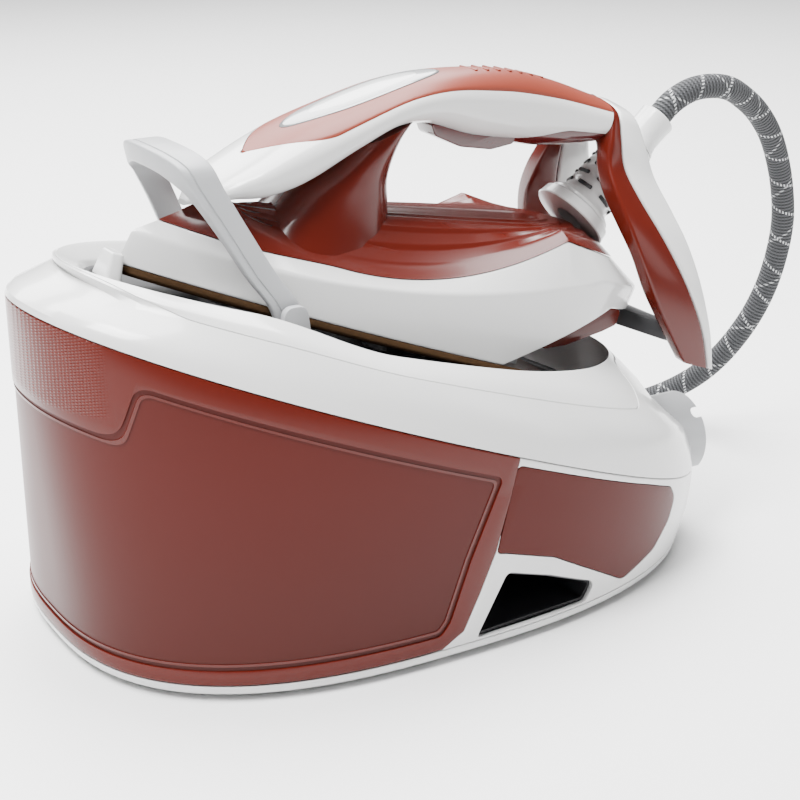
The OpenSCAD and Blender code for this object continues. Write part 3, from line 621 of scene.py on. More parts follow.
def deck_cover():
    """Deck shell with a fine joint line that runs along its sides and turns up to the crest at both ends."""
    outer = [deck_ring(k) for k in range(5)]
    x = outer[2][:, 0]
    line = 2.15 + 1.6 * smooth((x - 96) / 34) + 1.6 * smooth((-128 - x) / 34)
    top = []
    steps = [0, 0.12, *np.arange(1, 7) * 0.3, 2 - GROOVE_HALF, 2, 2 + GROOVE_HALF, *np.arange(9, 17) / 4]
    for s in steps:
        warped = line * s / 2 if s <= 2 else line + (s - 2) * (4 - line) / 2
        points = across(outer, warped)
        if s == 2:
            inwards = 0.4 * (points - points.mean(0)) / 110
            points = points - np.array([0, 0, GROOVE_DEPTH]) - inwards
        top.append(points)
    lip = eased([top[-2], top[-1], tray_ring(2, 2), tray_ring(0, -3), tray_ring(WALL, -3)],
                [0, 3.0, 1.5, 0.6, 0])
    inside = [tray_ring(WALL + 3, 1), deck_ring(4, 0, -WALL - 1), deck_ring(3, -WALL, -WALL),
              deck_ring(2, -WALL, -WALL), deck_ring(1, -WALL, -WALL + 1), deck_ring(0, -WALL, 0)]
    deck = loft(top[:-1] + list(lip[1:]) + inside, closed=True)
    cut(deck, cap_opening())
    cut(deck, panel_pocket())
    return crisp(deck, 28)


def rest_tray():
    bowl = [tray_ring(-0.3, -3), tray_ring(-0.3, 0), tray_ring(-3, 0), tray_ring(-5, -1.5)]
    return loft(eased(bowl, [0, 0.6, 0.6, 1]), sharp=28)


def tray_lug(side):
    """Bearing of the lock arch, standing up from the tray."""
    foot = tray_z(LOCK_X) - 1
    outline = rounded([(LOCK_X - 8, foot), (LOCK_X + 8, foot), (LOCK_X + 5.5, LOCK_Z + 5.5),
                       (LOCK_X - 5.5, LOCK_Z + 5.5)], [0, 0, 5.4, 5.4])
    y = side * (LOCK_HALF + 8)
    return soften(prism(outline, y - 2, y + 2), 0.6, 50)


def on_iron(points):
    """Carries points from the iron's own lines, u along the sole and w up, to its place on the rest."""
    u, v, w = np.moveaxis(np.array(points, float), -1, 0)
    c, s = math.cos(TILT), math.sin(TILT)
    return np.stack([IRON_X + u * c + w * s, v, IRON_Z - u * s + w * c], axis=-1)


def iron_bar(outline, half):
    """A bar across the iron with the given outline in u and w."""
    return loft(on_iron([[(u, v, w) for u, w in wound(outline, -1)] for v in (-half, half)]))


def nose_stop():
    """Small pointed rest for the iron's nose."""
    outline = rounded([(-151, -9), (-143, -11), (-143, 11), (-151, 9)], [3, 3, 3, 3])
    low = [(u, v, -8.7) for u, v in outline]
    high = [(mix(-147.5, u, 0.8), v * 0.6, 4.2) for u, v in outline]
    return soften(loft(on_iron([low, high])), 1.0, 30, 3)


# ---------------------------------------------------------------- water tank
WINDOW_SIDE = [(-FAR, 15), (-33, 15), (-28, 21), (-17, 50), (0, 87), (-154, seam_z(-154) - 13), (-162, 119),
               (-185, 126), (-FAR, 126)]
WINDOW_ROUNDS = [0, 6, 6, 30, 4, 6, 8, 12, 0]


def tank_frame():
    shell = wall_shell(0, -2, 0.3, -0.5)
    cut(shell, prism(TANK_EDGE + [(-FAR, FAR), (-FAR, TANK_EDGE[0][1])]), "INTERSECT")
    cut(shell, prism(rounded(WINDOW_SIDE, WINDOW_ROUNDS)))
    return soften(shell, 0.7, 50)


def tank_window():
    """Clear side of the tank, set a little back in its frame."""
    shell = wall_shell(-0.9, -2, 1, -1)
    cut(shell, prism(rounded(widened(WINDOW_SIDE, 0.6), WINDOW_ROUNDS)), "INTERSECT")
    return crisp(shell, 30)


def window_bead():
    """Narrow raised line just inside the window's edge."""
    shell = wall_shell(-0.45, -1.6, 1, -1)
    inner = rounded(widened(WINDOW_SIDE, -3.2), [0, 4, 4, 28, 3, 4, 6, 10, 0])
    outer = rounded(widened(WINDOW_SIDE, -2.0), [0, 5, 5, 29, 3, 5, 7, 11, 0])
    cut(shell, prism(outer), "INTERSECT")
    cut(shell, prism(inner))
    return crisp(shell, 30)


# ---------------------------------------------------------------- lock arch
# Stations of one arm: outer y and z, inner y and z, front x, rear x
LOCK_PATH = [(51, 156, 45.5, 156, -80, -66), (51, 165, 45.5, 165, -84, -70), (47, 178, 41.5, 177, -92, -78),
             (41, 198, 35.5, 196, -102, -88), (36, 215, 30, 211, -111, -96), (31, 226, 26, 217, -116, -100),
             (18, 230, 15, 221, -119, -102), (0, 231, 0, 222, -120, -103)]


def through(points, steps):
    """Smooth run through rows of numbers."""
    p = np.array(points, float)
    out = []
    for i in range(len(p) - 1):
        near = p[max(0, i - 1)], p[i], p[i + 1], p[min(len(p) - 1, i + 2)]
        out += [spline(*near, t) for t in np.arange(steps) / steps]
    return np.array(out + [p[-1]])


def spread(row):
    """Thickness and width of an arch at one of its stations."""
    return math.hypot(row[0] - row[2], row[1] - row[3]), abs(row[5] - row[4])


def arch_rings(rows, profile):
    """Sections of an arch, from rows that run from one end to the middle; profile gives each station's
    outline as shares across (0 outer, 1 inner) and along (0 front, 1 rear)."""
    rings = []
    for row, side in [(r, 1) for r in rows] + [(r, -1) for r in rows[-2::-1]]:
        oy, oz, iy, iz, front, rear = row
        rings.append([(mix(front, rear, a), side * mix(oy, iy, s), mix(oz, iz, s)) for s, a in profile(row)])
    return rings


ARCH_RIBS, RIB_PITCH, RIB_HALF, RIB_TALL = (-2, -1, 0, 1, 2), 7, 0.6, 3
RIB_FRONT, RIB_REAR, RIB_LOW, RIB_FALL = -114, -104.5, 221, 0.6
HUB_D, HUB_WIDTH = 12, 5.5


def lock_arch():
    """Arch over the iron's nose, with a groove along its front edge and ribs inside its crown."""
    def profile(row):
        thick, wide = spread(row)
        corners = [(0, wide), (0, 4.4), (0.7, 4.1), (0.7, 3.5), (0, 3.2), (0, 0), (thick, 0), (thick, wide)]
        return rounded(corners, [1.3, 0.2, 0.2, 0.2, 0.2, 1.4, 1.4, 1.3], 4) / (thick, wide)

    arch = loft(arch_rings(through(LOCK_PATH, 6), profile))
    for side in (-1, 1):
        middle = side * (LOCK_HALF + HUB_WIDTH / 2)
        cut(arch, rod((LOCK_X, middle - HUB_WIDTH / 2, LOCK_Z), (0, 1, 0), HUB_D, HUB_WIDTH), "UNION")
    for k in ARCH_RIBS:
        low = RIB_LOW - RIB_FALL * abs(k)
        side = [(RIB_FRONT, low), (RIB_REAR, low), (RIB_REAR, low + RIB_TALL), (RIB_FRONT, low + RIB_TALL)]
        cut(arch, prism(side, k * RIB_PITCH - RIB_HALF, k * RIB_PITCH + RIB_HALF), "UNION")
    return crisp(arch, 35)


# ---------------------------------------------------------------- iron: body
# Along the iron u runs from nose to heel and w up from the sole; its outlines are widest at BLADE_C
BLADE_C = 50
FRONT = 144 + BLADE_C
SOLE_HALF = 58
IRON_WALL = 2.2
# Each outline: reach to the front and to the rear of the widest place, half width, rear roundness
LOW_BLADE = (FRONT, 86, SOLE_HALF + 1, 2.2)
CREASE_BLADE = (FRONT - 3, 87, SOLE_HALF + 2.5, 2.2)
LINE_BLADE = (FRONT - 21.3, 66, SOLE_HALF - 6, 2.2)
SOLE_BLADE = (FRONT - 1, 24, SOLE_HALF, 3.5)


def blade(p, d):
    """Flat-iron outline p, grown by d."""
    front, rear, half, power = p[0] + d, p[1] + d, p[2] + d, p[3]
    c, t = np.cos(TURN), np.sin(TURN)
    ahead = c < 0
    u = BLADE_C + np.where(ahead, -front * np.abs(c) ** 0.97, rear * spow(c, 2 / power))
    v = np.where(ahead, half * spow(t, 1.84), half * spow(t, 2 / power))
    return u, v


def blade_ring(p, d, height, lift=0.0):
    """Ring on outline p grown by d; height is a number or follows the place along the sole."""
    u, v = blade(p, d)
    return ring(u, v, (height(u) if callable(height) else height) + lift)


def skirt_low(u):
    return -0.7 + np.minimum(38, np.maximum(0, 0.62 * (u - 38)))


def crease(u):
    return np.minimum(50, 27.5 + 0.2 * u + 0.0008 * u * u)


def red_line(u):
    return np.where(u < -96, 33 + 0.23 * (u + 96),
                    np.where(u < 58, 24 + 0.0034 * (u + 50) ** 2, 64 - 0.07 * (u - 58)))


def colour_line(u):
    """Height at which the white skirt gives way to the red upper body."""
    return np.where(u < -50, 22 + 2 * smooth((u + 96) / 46), red_line(u))


def colour_ring(d=0.0, lift=0.0):
    """Ring on the skirt's upper slope along the colour line."""
    low, high = blade_ring(CREASE_BLADE, d, crease), blade_ring(LINE_BLADE, d, red_line)
    u = high[:, 0]
    share = np.clip((colour_line(u) - crease(u)) / np.maximum(1, red_line(u) - crease(u)), 0.3, 1)
    return mix(low, high, share[:, None]) + np.array((0, 0, lift))


def dome(u):
    return 56 + 0.18 * (u - 3)


def soleplate():
    rings = [blade_ring(SOLE_BLADE, d, w) for d, w in ((-4, -5.5), (-1, -5.3), (0, -4.2), (0, -1))]
    return loft(on_iron(eased(rings, [0, 1, 1, 0])), sharp=30)


def skirt():
    rings = [blade_ring(LOW_BLADE, 0, skirt_low), blade_ring(CREASE_BLADE, 0, crease), colour_ring(),
             colour_ring(-IRON_WALL), blade_ring(CREASE_BLADE, -IRON_WALL, crease, -1),
             blade_ring(LOW_BLADE, -IRON_WALL, skirt_low)]
    return loft(on_iron(eased(rings, [1.2, 2.0, 0.5, 0.4, 0, 0.6], closed=True)), closed=True, sharp=24)


SHOULDER_IN, SHOULDER_UP = -7, 4.5
TREADS, TREAD_FROM, TREAD_TO, TREAD_FALL = 5, -9, -44, 1.1
TOP_IN, TOP_END, CROWN = -26, -48, 1.4


def tread(k, lift):
    """Ring k of the stepped top, where k counts in treads from the shoulder inwards."""
    d = mix(TREAD_FROM, TREAD_TO, k / TREADS)
    u, v = blade(LINE_BLADE, d)
    w = mix(red_line(u) + SHOULDER_UP, dome(u), min(1.0, (SHOULDER_IN - d) / (SHOULDER_IN - TOP_IN)))
    return ring(u, v, w + CROWN * max(0.0, (TOP_IN - d) / (TOP_IN - TOP_END)) + lift)


def body_top():
    """Red upper body, stepped in nested ridges from its shoulder to the handle."""
    rings = [blade_ring(LINE_BLADE, SHOULDER_IN - IRON_WALL, red_line, SHOULDER_UP - IRON_WALL),
             colour_ring(-IRON_WALL, 0.4), colour_ring(0, 0.4), blade_ring(LINE_BLADE, 0, red_line, 0.6),
             blade_ring(LINE_BLADE, SHOULDER_IN, red_line, SHOULDER_UP)]
    for k in range(TREADS):
        rings += [tread(k, 0), tread(k + 0.82, -TREAD_FALL)]
    rings.append(blade_ring(LINE_BLADE, TOP_END, dome, CROWN))
    reach = [0, 0.4, 0.5, 2.5, 4] + [0.7, 0.7] * TREADS + [0]
    return loft(on_iron(eased(rings, reach, steps=4)), sharp=24)


# Stations up the column: front, rear, half width, height, slope
COLUMN_PATH = [(-88, -4, 32, 22, 0), (-83, -11, 28.5, 32, 0.05), (-79, -16, 26.2, 42, 0.1),
               (-74, -21, 25, 52, 0.25), (-67, -26, 24.5, 64, 0.4), (-57, -25, 24, 80, 0.75),
               (-50, -18, 22, 94, 0.8)]
COLUMN_TOP = 90


def column_ring(front, rear, half, height, slope):
    middle = (front + rear) / 2
    u = middle + (rear - front) / 2 * spow(np.cos(TURN), 0.8)
    return ring(u, half * spow(np.sin(TURN), 0.8), height + slope * (u - middle))


def front_column():
    """Column under the grip's front, running smoothly into the body and the handle."""
    rows = [r for r in through(COLUMN_PATH, 10) if r[3] < COLUMN_TOP]
    return loft(on_iron([column_ring(*r) for r in rows]), sharp=40)


def heel_base():
    outline = rounded([(76, 8), (76, 22), (97, 35.2), (117, 37), (117, 28.5), (109.5, 23.5), (89, 12.4)],
                      [1, 2, 6, 3, 3, 4, 3])
    return soften(iron_bar(outline, 38), 1.2, 50, 3)


def heel_strut():
    outline = rounded([(117.3, -24), (117.3, 24), (140, 50.7), (152, 50.7), (152, -50.7), (140, -50.7)],
                      [0, 0, 4, 0, 0, 4])
    rings = [[(u, v, w) for u, v in outline[::-1]] for w in (28, 36.8)]
    return soften(loft(on_iron(rings)), 1.0, 50)


# ---------------------------------------------------------------- iron: handle
# Places along the grip, each with its height or half width there
HANDLE_TOP = [(-121, 34), (-113, 46), (-99, 61), (-83, 77), (-56, 97), (-18, 120), (3, 128), (26, 134),
              (50, 136.5), (84, 136)]
HANDLE_LOW = [(-121, 31.5), (-113, 36), (-104, 39.5), (-90, 43.5), (-77, 51), (-52, 75), (-35, 90), (-17, 97),
              (17, 99), (41, 103), (64, 109), (84, 114)]
HANDLE_HALF = [(-121, 4), (-113, 17), (-100, 25), (-83, 28), (-56, 28), (-30, 26), (0, 23), (26, 21),
               (60, 21), (84, 25)]
HANDLE_END = 84
INLAY_TIP, INLAY_FULL, INLAY_ANGLE, INLAY_CLOSED = -98, -66, 24, 88
TRIGGER_HALF = 8


def handle_at(u):
    """Underside, top and half width of the grip at u."""
    return along(HANDLE_LOW, u), along(HANDLE_TOP, u), along(HANDLE_HALF, u)


def handle_point(u, a, d):
    """Point of the grip's section at u, at an angle in degrees from +Y, d inside its skin."""
    low, top, half = handle_at(u)
    c, s = np.cos(np.radians(a)), np.sin(np.radians(a))
    w = (low + top) / 2 + ((top - low) / 2 - d) * spow(s, 0.83)
    return ring(u + 0 * a, (half - d) * spow(c, 0.83), w)


def inlay_edge(u):
    """Angle at which the coloured insert starts; it narrows to a point at the front."""
    t = np.clip((INLAY_FULL - u) / (INLAY_FULL - INLAY_TIP), 0, 1)
    return mix(INLAY_ANGLE, INLAY_CLOSED, t**1.6)


def handle_shell():
    """Grip and nose of the handle, set back where the insert lies and open for the trigger."""
    rings = []
    over, under = 34, 58
    for u in np.concatenate([np.linspace(-121, -99, 16), np.linspace(-97.5, HANDLE_END, 90)]):
        set_back, edge = (1.5, inlay_edge(u)) if u > INLAY_TIP else (0, INLAY_CLOSED + 0.5)
        a = np.concatenate([np.linspace(edge, 180 - edge, over), np.linspace(180 - edge, 360 + edge, under)])
        d = np.repeat([set_back, 0], [over, under])
        rings.append(handle_point(u, a, d))
    body = loft(on_iron(rings), sharp=30)
    cut(body, iron_bar([(-10, 86), (44, 86), (44, 112), (-10, 112)], TRIGGER_HALF + 0.3))
    return crisp(body, 30)


def grip_inlay():
    """Insert on the grip, its edges eased into the handle; its lighter red is the copper red with painted
    light from above.
    """
    rings = []
    ease = np.array([0.5, 0.12, *[0] * 36, 0.12, 0.5])
    for u in np.concatenate([[INLAY_TIP + 0.3], np.linspace(-97, HANDLE_END, 90)]):
        edge = inlay_edge(u) + 0.7
        out = np.linspace(edge, 180 - edge, len(ease))
        rings.append(np.concatenate([handle_point(u, out, ease), handle_point(u, out[::-1], 1.45)]))
    return loft(on_iron(rings), sharp=40)


LENS_MIDDLE, LENS_REACH, LENS_HALF = -46, 37, 13.5
RIB_COUNT, RIB_FIRST, RIB_STEP = 7, 8, 6.5


def grip_ribs():
    """Low ribs across the top of the grip."""
    places, spins = [], []
    for u in RIB_FIRST + RIB_STEP * np.arange(RIB_COUNT):
        slope = math.atan2(along(HANDLE_TOP, u + 1) - along(HANDLE_TOP, u - 1), 2)
        places.append(on_iron((u, 0, along(HANDLE_TOP, u) - 0.25)))
        spins.append(spin_about(TILT - slope, 0))
    return scatter(small_block(1.5, 15, 1.0, 0.4), places, spins, COPPER_WITH_PAINTED_LIGHT)


def lens_piece(share, high, low):
    """Oval plate laid on the grip's front slope, standing high in its middle and low at its rim."""
    rings = []
    for k in np.sin(np.linspace(-1, 1, 41) * math.pi / 2) * 0.998:
        u = LENS_MIDDLE + LENS_REACH * share * k
        round_off = math.sqrt(1 - k * k)
        w = LENS_HALF * share * round_off + 0.15
        a = math.degrees(math.acos(min(1, w / handle_at(u)[2]) ** 1.2))
        out = np.linspace(a, 180 - a, 25)
        edge = np.sin(np.linspace(0, 1, 25) * math.pi) ** 0.4 * round_off**0.5
        rings.append(np.concatenate([handle_point(u, out, -mix(low, high, edge)),
                                     handle_point(u, out[::-1], 0.3)]))
    return loft(on_iron(rings), sharp=50)


def grip_belly():
    """Glossy swelling under the rear of the grip."""
    rings = []
    a = np.radians(np.linspace(0, 360, 56, endpoint=False))
    for t in np.linspace(0.02, 1, 30):
        u = mix(36, HANDLE_END, t)
        low, top, half = handle_at(u)
        swell = 3.6 * math.sin(math.pi * min(1, t * 0.85) ** 0.8) + 0.2
        h = (top - low) * 0.4
        wide = (half - 1.6) * (0.55 + 0.42 * smooth(t * 1.6))
        rings.append(ring(u + 0 * a, wide * spow(np.cos(a), 0.8), low - swell + h + h * spow(np.sin(a), 0.8)))
    return loft(on_iron(rings), sharp=40)


def trigger():
    outline = rounded([(-8, 98), (-4, 93.5), (12, 92), (30, 95), (42, 101), (42, 110), (33, 110), (30, 104),
                       (-6, 103.5)], [1.5, 4, 12, 12, 3, 1, 1, 1, 1.5], 6)
    return soften(iron_bar(outline, TRIGGER_HALF), 1.4, 50, 3)


# Stations of one leg, from its foot to the middle of the bridge, as in LOCK_PATH
HEEL = [(60, 20, 51, 21, 150, 171), (60, 36, 51, 36, 131, 163), (58.5, 51, 49, 50, 116, 154),
        (55, 66, 46, 65, 104, 144.5), (49, 80, 39.5, 77, 95, 135.5), (40, 93, 30, 89, 88.5, 126.5),
        (31, 106, 22, 101, 85, 117), (27, 120, 17, 112, 84.3, 108), (20, 132, 10, 116.5, 84.3, 101),
        (0, 136.5, 0, 117, 84.3, 99)]


def heel_piece(outer):
    """Rear band or front band of the heel arch; the front one widens towards the foot."""
    def profile(row):
        thick, wide = spread(row)
        split = mix(0.82, 0.3, float(smooth((row[1] - 30) / 95)))
        front, rear = ((split + 0.012) * wide, wide) if outer else (0, split * wide)
        corners = [(0, rear), (0, front), (thick, front), (thick, rear)]
        return rounded(corners, [2.2] * 4, 5) / (thick, wide)

    return loft(on_iron(arch_rings(through(HEEL, 6), profile)), sharp=40)


# ---------------------------------------------------------------- iron: hose outlet
MOUTH = np.array((132.6, 0, 135.5))
HOSE_AXIS = np.array((math.sin(math.radians(30)), 0, math.cos(math.radians(30))))
SLEEVE, COLLAR, HOSE_D = 66, 20, 13
SLEEVE_WIDE, SLEEVE_NARROW, SLEEVE_FOOT, SLEEVE_WAVES = 13.6, 11.6, 6, 6
SLEEVE_RUN = SLEEVE - COLLAR


def turned(profile, start):
    """A ring turned about the hose's axis; profile is (radius, distance from the start)."""
    return loft(on_iron(lathe_rings(profile, MOUTH + HOSE_AXIS * start, HOSE_AXIS, 96)), closed=True)


def hose_sleeve():
    """Tapered strain relief with a flange at its foot and low waves along it."""
    end, inner = SLEEVE_RUN - 0.3, HOSE_D / 2 + 0.3
    flank = [(mix(SLEEVE_WIDE, SLEEVE_NARROW, t) + 0.35 * math.cos(2 * math.pi * SLEEVE_WAVES * t),
              mix(SLEEVE_FOOT, end - 0.6, t)) for t in np.linspace(0, 1, 43)]
    return turned([(inner, 0), (17.4, 0), (18, 0.6), (18, 1.9), (17.5, 2.5), (14.8, 4.6), *flank,
                   (11.1, end), (inner, end)], -SLEEVE)


def hose_collar():
    inner = HOSE_D / 2 + 0.05
    return turned([(inner, 0.6), (inner + 0.6, 0), (11.2, 0), (11.5, 0.5), (10.4, 3), (9.7, 6.2),
                   (9.7, 14), (10.0, 19.4), (9.6, COLLAR), (inner, COLLAR)], -COLLAR)


def rear_cover():
    inner = HOSE_D / 2 + 1
    return turned([(inner, -2.4), (20.4, -2.4), (21, -1.8), (20.1, 3.4), (19.4, 4), (inner, 4)],
                  -SLEEVE - 4.2)


def scatter(unit, places, spins, paint):
    """Repeats a small piece at the places, each turned by its own angles."""
    cloud = new_mesh(to_metres(places))
    turn = cloud.attributes.new("turn", "FLOAT_VECTOR", "POINT")
    turn.data.foreach_set("vector", np.array(spins, np.float32).ravel())
    obj = new_object(cloud)
    group = bpy.data.node_groups.new("repeat_at_places", "GeometryNodeTree")
    sockets = {}
    for label, kind in (("Places", "NodeSocketGeometry"), ("Piece", "NodeSocketObject"),
                        ("Size", "NodeSocketFloat"), ("Material", "NodeSocketMaterial")):
        sockets[label] = group.interface.new_socket(label, in_out="INPUT", socket_type=kind).identifier
    group.interface.new_socket("Geometry", in_out="OUTPUT", socket_type="NodeSocketGeometry")
    kinds = {"in": "NodeGroupInput", "out": "NodeGroupOutput", "piece": "GeometryNodeObjectInfo",
             "turn": "GeometryNodeInputNamedAttribute", "euler": "FunctionNodeEulerToRotation",
             "copy": "GeometryNodeInstanceOnPoints", "real": "GeometryNodeRealizeInstances",
             "paint": "GeometryNodeSetMaterial"}
    n = {key: group.nodes.new(kind) for key, kind in kinds.items()}
    n["turn"].data_type = "FLOAT_VECTOR"
    n["turn"].inputs["Name"].default_value = "turn"
    joins = [("in", "Places", "copy", "Points"), ("in", "Piece", "piece", "Object"),
             ("piece", "Geometry", "copy", "Instance"), ("turn", "Attribute", "euler", "Euler"),
             ("euler", "Rotation", "copy", "Rotation"), ("in", "Size", "copy", "Scale"),
             ("copy", "Instances", "real", "Geometry"), ("real", "Geometry", "paint", "Geometry"),
             ("in", "Material", "paint", "Material"), ("paint", "Geometry", "out", "Geometry")]
    for a, out, b, into in joins:
        group.links.new(n[a].outputs[out], n[b].inputs[into])
    m = obj.modifiers.new("repeat", "NODES")
    m.node_group = group
    m[sockets["Piece"]] = unit
    m[sockets["Size"]] = 1.0
    m[sockets["Material"]] = paint.material
    apply_modifiers(obj)
    bpy.data.objects.remove(unit)
    return crisp(obj, 40)


def small_block(x, y, z, soft):
    """Rounded block about its own middle, for repeating."""
    flat = np.array([(-1, -1), (1, -1), (1, 1), (-1, 1)])
    corners = [(*xy, side) * np.array((x, y, z)) * MM / 2 for side in (-1, 1) for xy in flat]
    sides = [(i, (i + 1) % 4, (i + 1) % 4 + 4, i + 4) for i in range(4)]
    return soften(new_object(new_mesh(corners, [(3, 2, 1, 0), (4, 5, 6, 7), *sides])), soft, 30)


def sleeve_slits():
    """Staggered rows of slits round the strain relief."""
    places, spins = [], []
    axis = on_iron(HOSE_AXIS) - on_iron((0, 0, 0))
    pitch = math.atan2(axis[0], axis[2])
    side = np.array((0.0, 1.0, 0.0))
    other = np.cross(HOSE_AXIS, side)
    rows, around = 6, 6
    for k in range(rows):
        t = (k + 0.5) / rows
        middle = MOUTH + HOSE_AXIS * (mix(SLEEVE_FOOT, SLEEVE_RUN - 0.6, t) - SLEEVE)
        r = mix(SLEEVE_WIDE, SLEEVE_NARROW, t) - 0.15
        for j in range(around):
            a = 2 * math.pi * (j + 0.5 * (k % 2)) / around
            places.append(on_iron(middle + r * (side * math.cos(a) + other * math.sin(a))))
            spins.append(spin_about(pitch, math.pi / 2 + a))
    return scatter(small_block(1.5, 8.6, 2.1, 0.6), places, spins, DARK_GREY)


def spin_about(pitch, turn):
    """Euler angles of a turn about the piece's own upright, then a lean by pitch towards +X."""
    return tuple((Matrix.Rotation(pitch, 3, "Y") @ Matrix.Rotation(turn, 3, "Z")).to_euler())


# ---------------------------------------------------------------- hose
RUN_POINTS = [(171.95, 0, 212.98), (181, 0, 220.5), (193, 0, 225.5), (206, 0, 226.5), (220, 1, 224),
              (234, 4, 217), (248, 7, 207), (261, 10, 193), (272, 14, 176), (280, 17, 157), (285, 20, 137),
              (286, 24, 116), (284, 29, 95), (279, 36, 74), (271, 46, 53), (262, 58, 36), (250, 73, 22),
              (236, 89, 12), (219, 104, 7.5), (200, 117, 6.5), (178, 128, 6.5), (152, 136, 6.5),
              (122, 141, 6.5), (90, 143, 6.5), (66, 143, 6.5), (44, 143, 6.5), (22, 143, 6.5)]
TAIL_POINTS = [(76, 194, 19.5), (80, 184, 19.5), (88, 172, 20), (101, 160, 21), (114, 148, 23),
               (122, 136, 25), (128, 120, 27), (130, 108, 28), GLAND_AT]
# The coil starts at the side nearest the object; it lies on the floor, then climbs onto its first turn
COIL_AT, COIL_R, COIL_TURN = (0, 215), 72, 630
COIL_LOW, COIL_HIGH, CLIMB_FROM, CLIMB_TURN = 6.5, 19.5, 290, 65
PATH_STEP = 2.0


def hose_path():
    """Centreline: from the iron over the rear to the floor, round the coil, then up to the base."""
    coil = []
    for turn in np.arange(0, COIL_TURN + 1, 10):
        a = math.radians(-90 - turn)
        z = mix(COIL_LOW, COIL_HIGH, smooth((turn - CLIMB_FROM) / CLIMB_TURN))
        coil.append((COIL_AT[0] + COIL_R * math.cos(a), COIL_AT[1] + COIL_R * math.sin(a), z))
    fine = through([*RUN_POINTS, *coil, *TAIL_POINTS], 8)
    gaps = np.linalg.norm(np.diff(fine, axis=0), axis=1)
    run = np.concatenate([[0], np.cumsum(gaps)])
    even = np.arange(0, run[-1], PATH_STEP)
    even[-1] = run[-1]
    return np.stack([np.interp(even, run, fine[:, k]) for k in range(3)], axis=1), run[-1]


def swept(path, radius, sides=32):
    """Tube along a path whose frame turns as little as it can, with UV in lengths along and turns round."""
    ahead = np.gradient(path, axis=0)
    ahead /= np.linalg.norm(ahead, axis=1)[:, None]
    side = np.array((0.0, 1.0, 0.0))
    rings = []
    a = np.linspace(0, 2 * math.pi, sides, endpoint=False)[:, None]
    for point, t in zip(path, ahead):
        side = side - t * (side @ t)
        side /= np.linalg.norm(side)
        rings.append(point + radius * (side * np.cos(a) + np.cross(t, side) * np.sin(a)))
    obj = loft(rings)
    layer = obj.data.uv_layers.new(name="UVMap")
    step = float(np.linalg.norm(path[1] - path[0])) * MM
    for face in obj.data.polygons:
        corners = [obj.data.loops[i].vertex_index for i in face.loop_indices]
        wrap = any(v % sides == 0 for v in corners) and any(v % sides == sides - 1 for v in corners)
        for i, v in zip(face.loop_indices, corners):
            turn = 1.0 if wrap and v % sides == 0 else (v % sides) / sides
            layer.data[i].uv = (v // sides * step, turn)
    return obj


# ---------------------------------------------------------------- controls and cap
def scale_cap():
    """Filler cap with two finger wells in its face."""
    r = CAP_D / 2
    profile = [(0.01, BOSS_END + 6), (r - 1, BOSS_END + 6), (r, BOSS_END + 7), (r, CAP_FACE - 1.2),
               (r - 1.2, CAP_FACE), (r - 4, CAP_FACE), (r - 5, CAP_FACE - 1.5), (0.01, CAP_FACE - 1.5)]
    cap = loft(lathe_rings(profile, (0, CAP_Y, CAP_Z), (1, 0, 0), 96))
    for side in (-1, 1):
        well = small_block(9, 10, CAP_D - 8, 2)
        well.data.transform(Matrix.Translation(to_metres((CAP_FACE - 2, CAP_Y + side * 12, CAP_Z))))
        cut(cap, well)
    return crisp(cap, 35)


# ---------------------------------------------------------------- the whole object
def place_piece(name, obj, body, paint, nodes):
    """Names a finished piece, paints it, and hands it to the body it moves with."""
    obj.name = obj.data.name = name
    finish_with(obj, paint)
    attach(obj, body)
    if nodes:
        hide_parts(*nodes)


def add_hose():
    path, length = hose_path()
    hose = finish_with(swept(path, HOSE_D / 2), BRAID)
    hose.name = hose.data.name = "steam_hose"
    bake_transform(hose)
    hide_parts("hose_run", "hose_floor", "hose_coil", "hose_tail")


def add_camera():
    azimuth, elevation, distance = math.radians(-31), math.radians(20.5), 0.9
    target = Vector((0.0139 + SHIFT, 0, 0.085))
    away = Vector((math.sin(azimuth) * math.cos(elevation), -math.cos(azimuth) * math.cos(elevation),
                   math.sin(elevation)))
    data = bpy.data.cameras.new("camera")
    data.lens = 79.7
    data.sensor_width = 36
    camera = new_object(data, "camera")
    camera.location = target + distance * away
    camera.rotation_euler = (-away).to_track_quat("-Z", "Y").to_euler()
    bpy.context.scene.camera = camera


def area_light(name, place, aim, size, power):
    data = bpy.data.lights.new(name, "AREA")
    data.shape = "RECTANGLE"
    data.size, data.size_y = size
    data.energy = power
    lamp = new_object(data, name)
    lamp.location = place
    lamp.rotation_euler = (Vector(aim) - Vector(place)).to_track_quat("-Z", "Y").to_euler()


def add_studio():
    area_light("key", (-0.9, -0.3, 1.8), (0, 0, 0.05), (0.7, 0.7), 60)
    area_light("fill", (1.4, -1.2, 0.7), (0.05, 0, 0.1), (0.4, 1.0), 3)
    area_light("rim", (0.3, 1.5, 1.2), (0, 0, 0.12), (1.8, 0.7), 40)
    area_light("top", (0, 0.4, 2.0), (0, 0, 0), (1.8, 1.8), 200)
    world = bpy.data.worlds.new("studio")
    world.use_nodes = True
    sky = world.node_tree.nodes["Background"].inputs
    sky["Color"].default_value = (1, 1, 1, 1)
    sky["Strength"].default_value = 0.2
    bpy.context.scene.world = world
    reach = 6.0
    corners = [(-reach, -reach, 0), (reach, -reach, 0), (reach, reach, 0), (-reach, reach, 0)]
    floor = new_object(new_mesh(corners, [(0, 1, 2, 3)]), "floor")
    pale = Paint("floor_pale", (0.86, 0.86, 0.86), 0.55)
    pale.set("Roughness", pale.noise(6) * 0.1 + 0.5)
    finish_with(floor, pale)


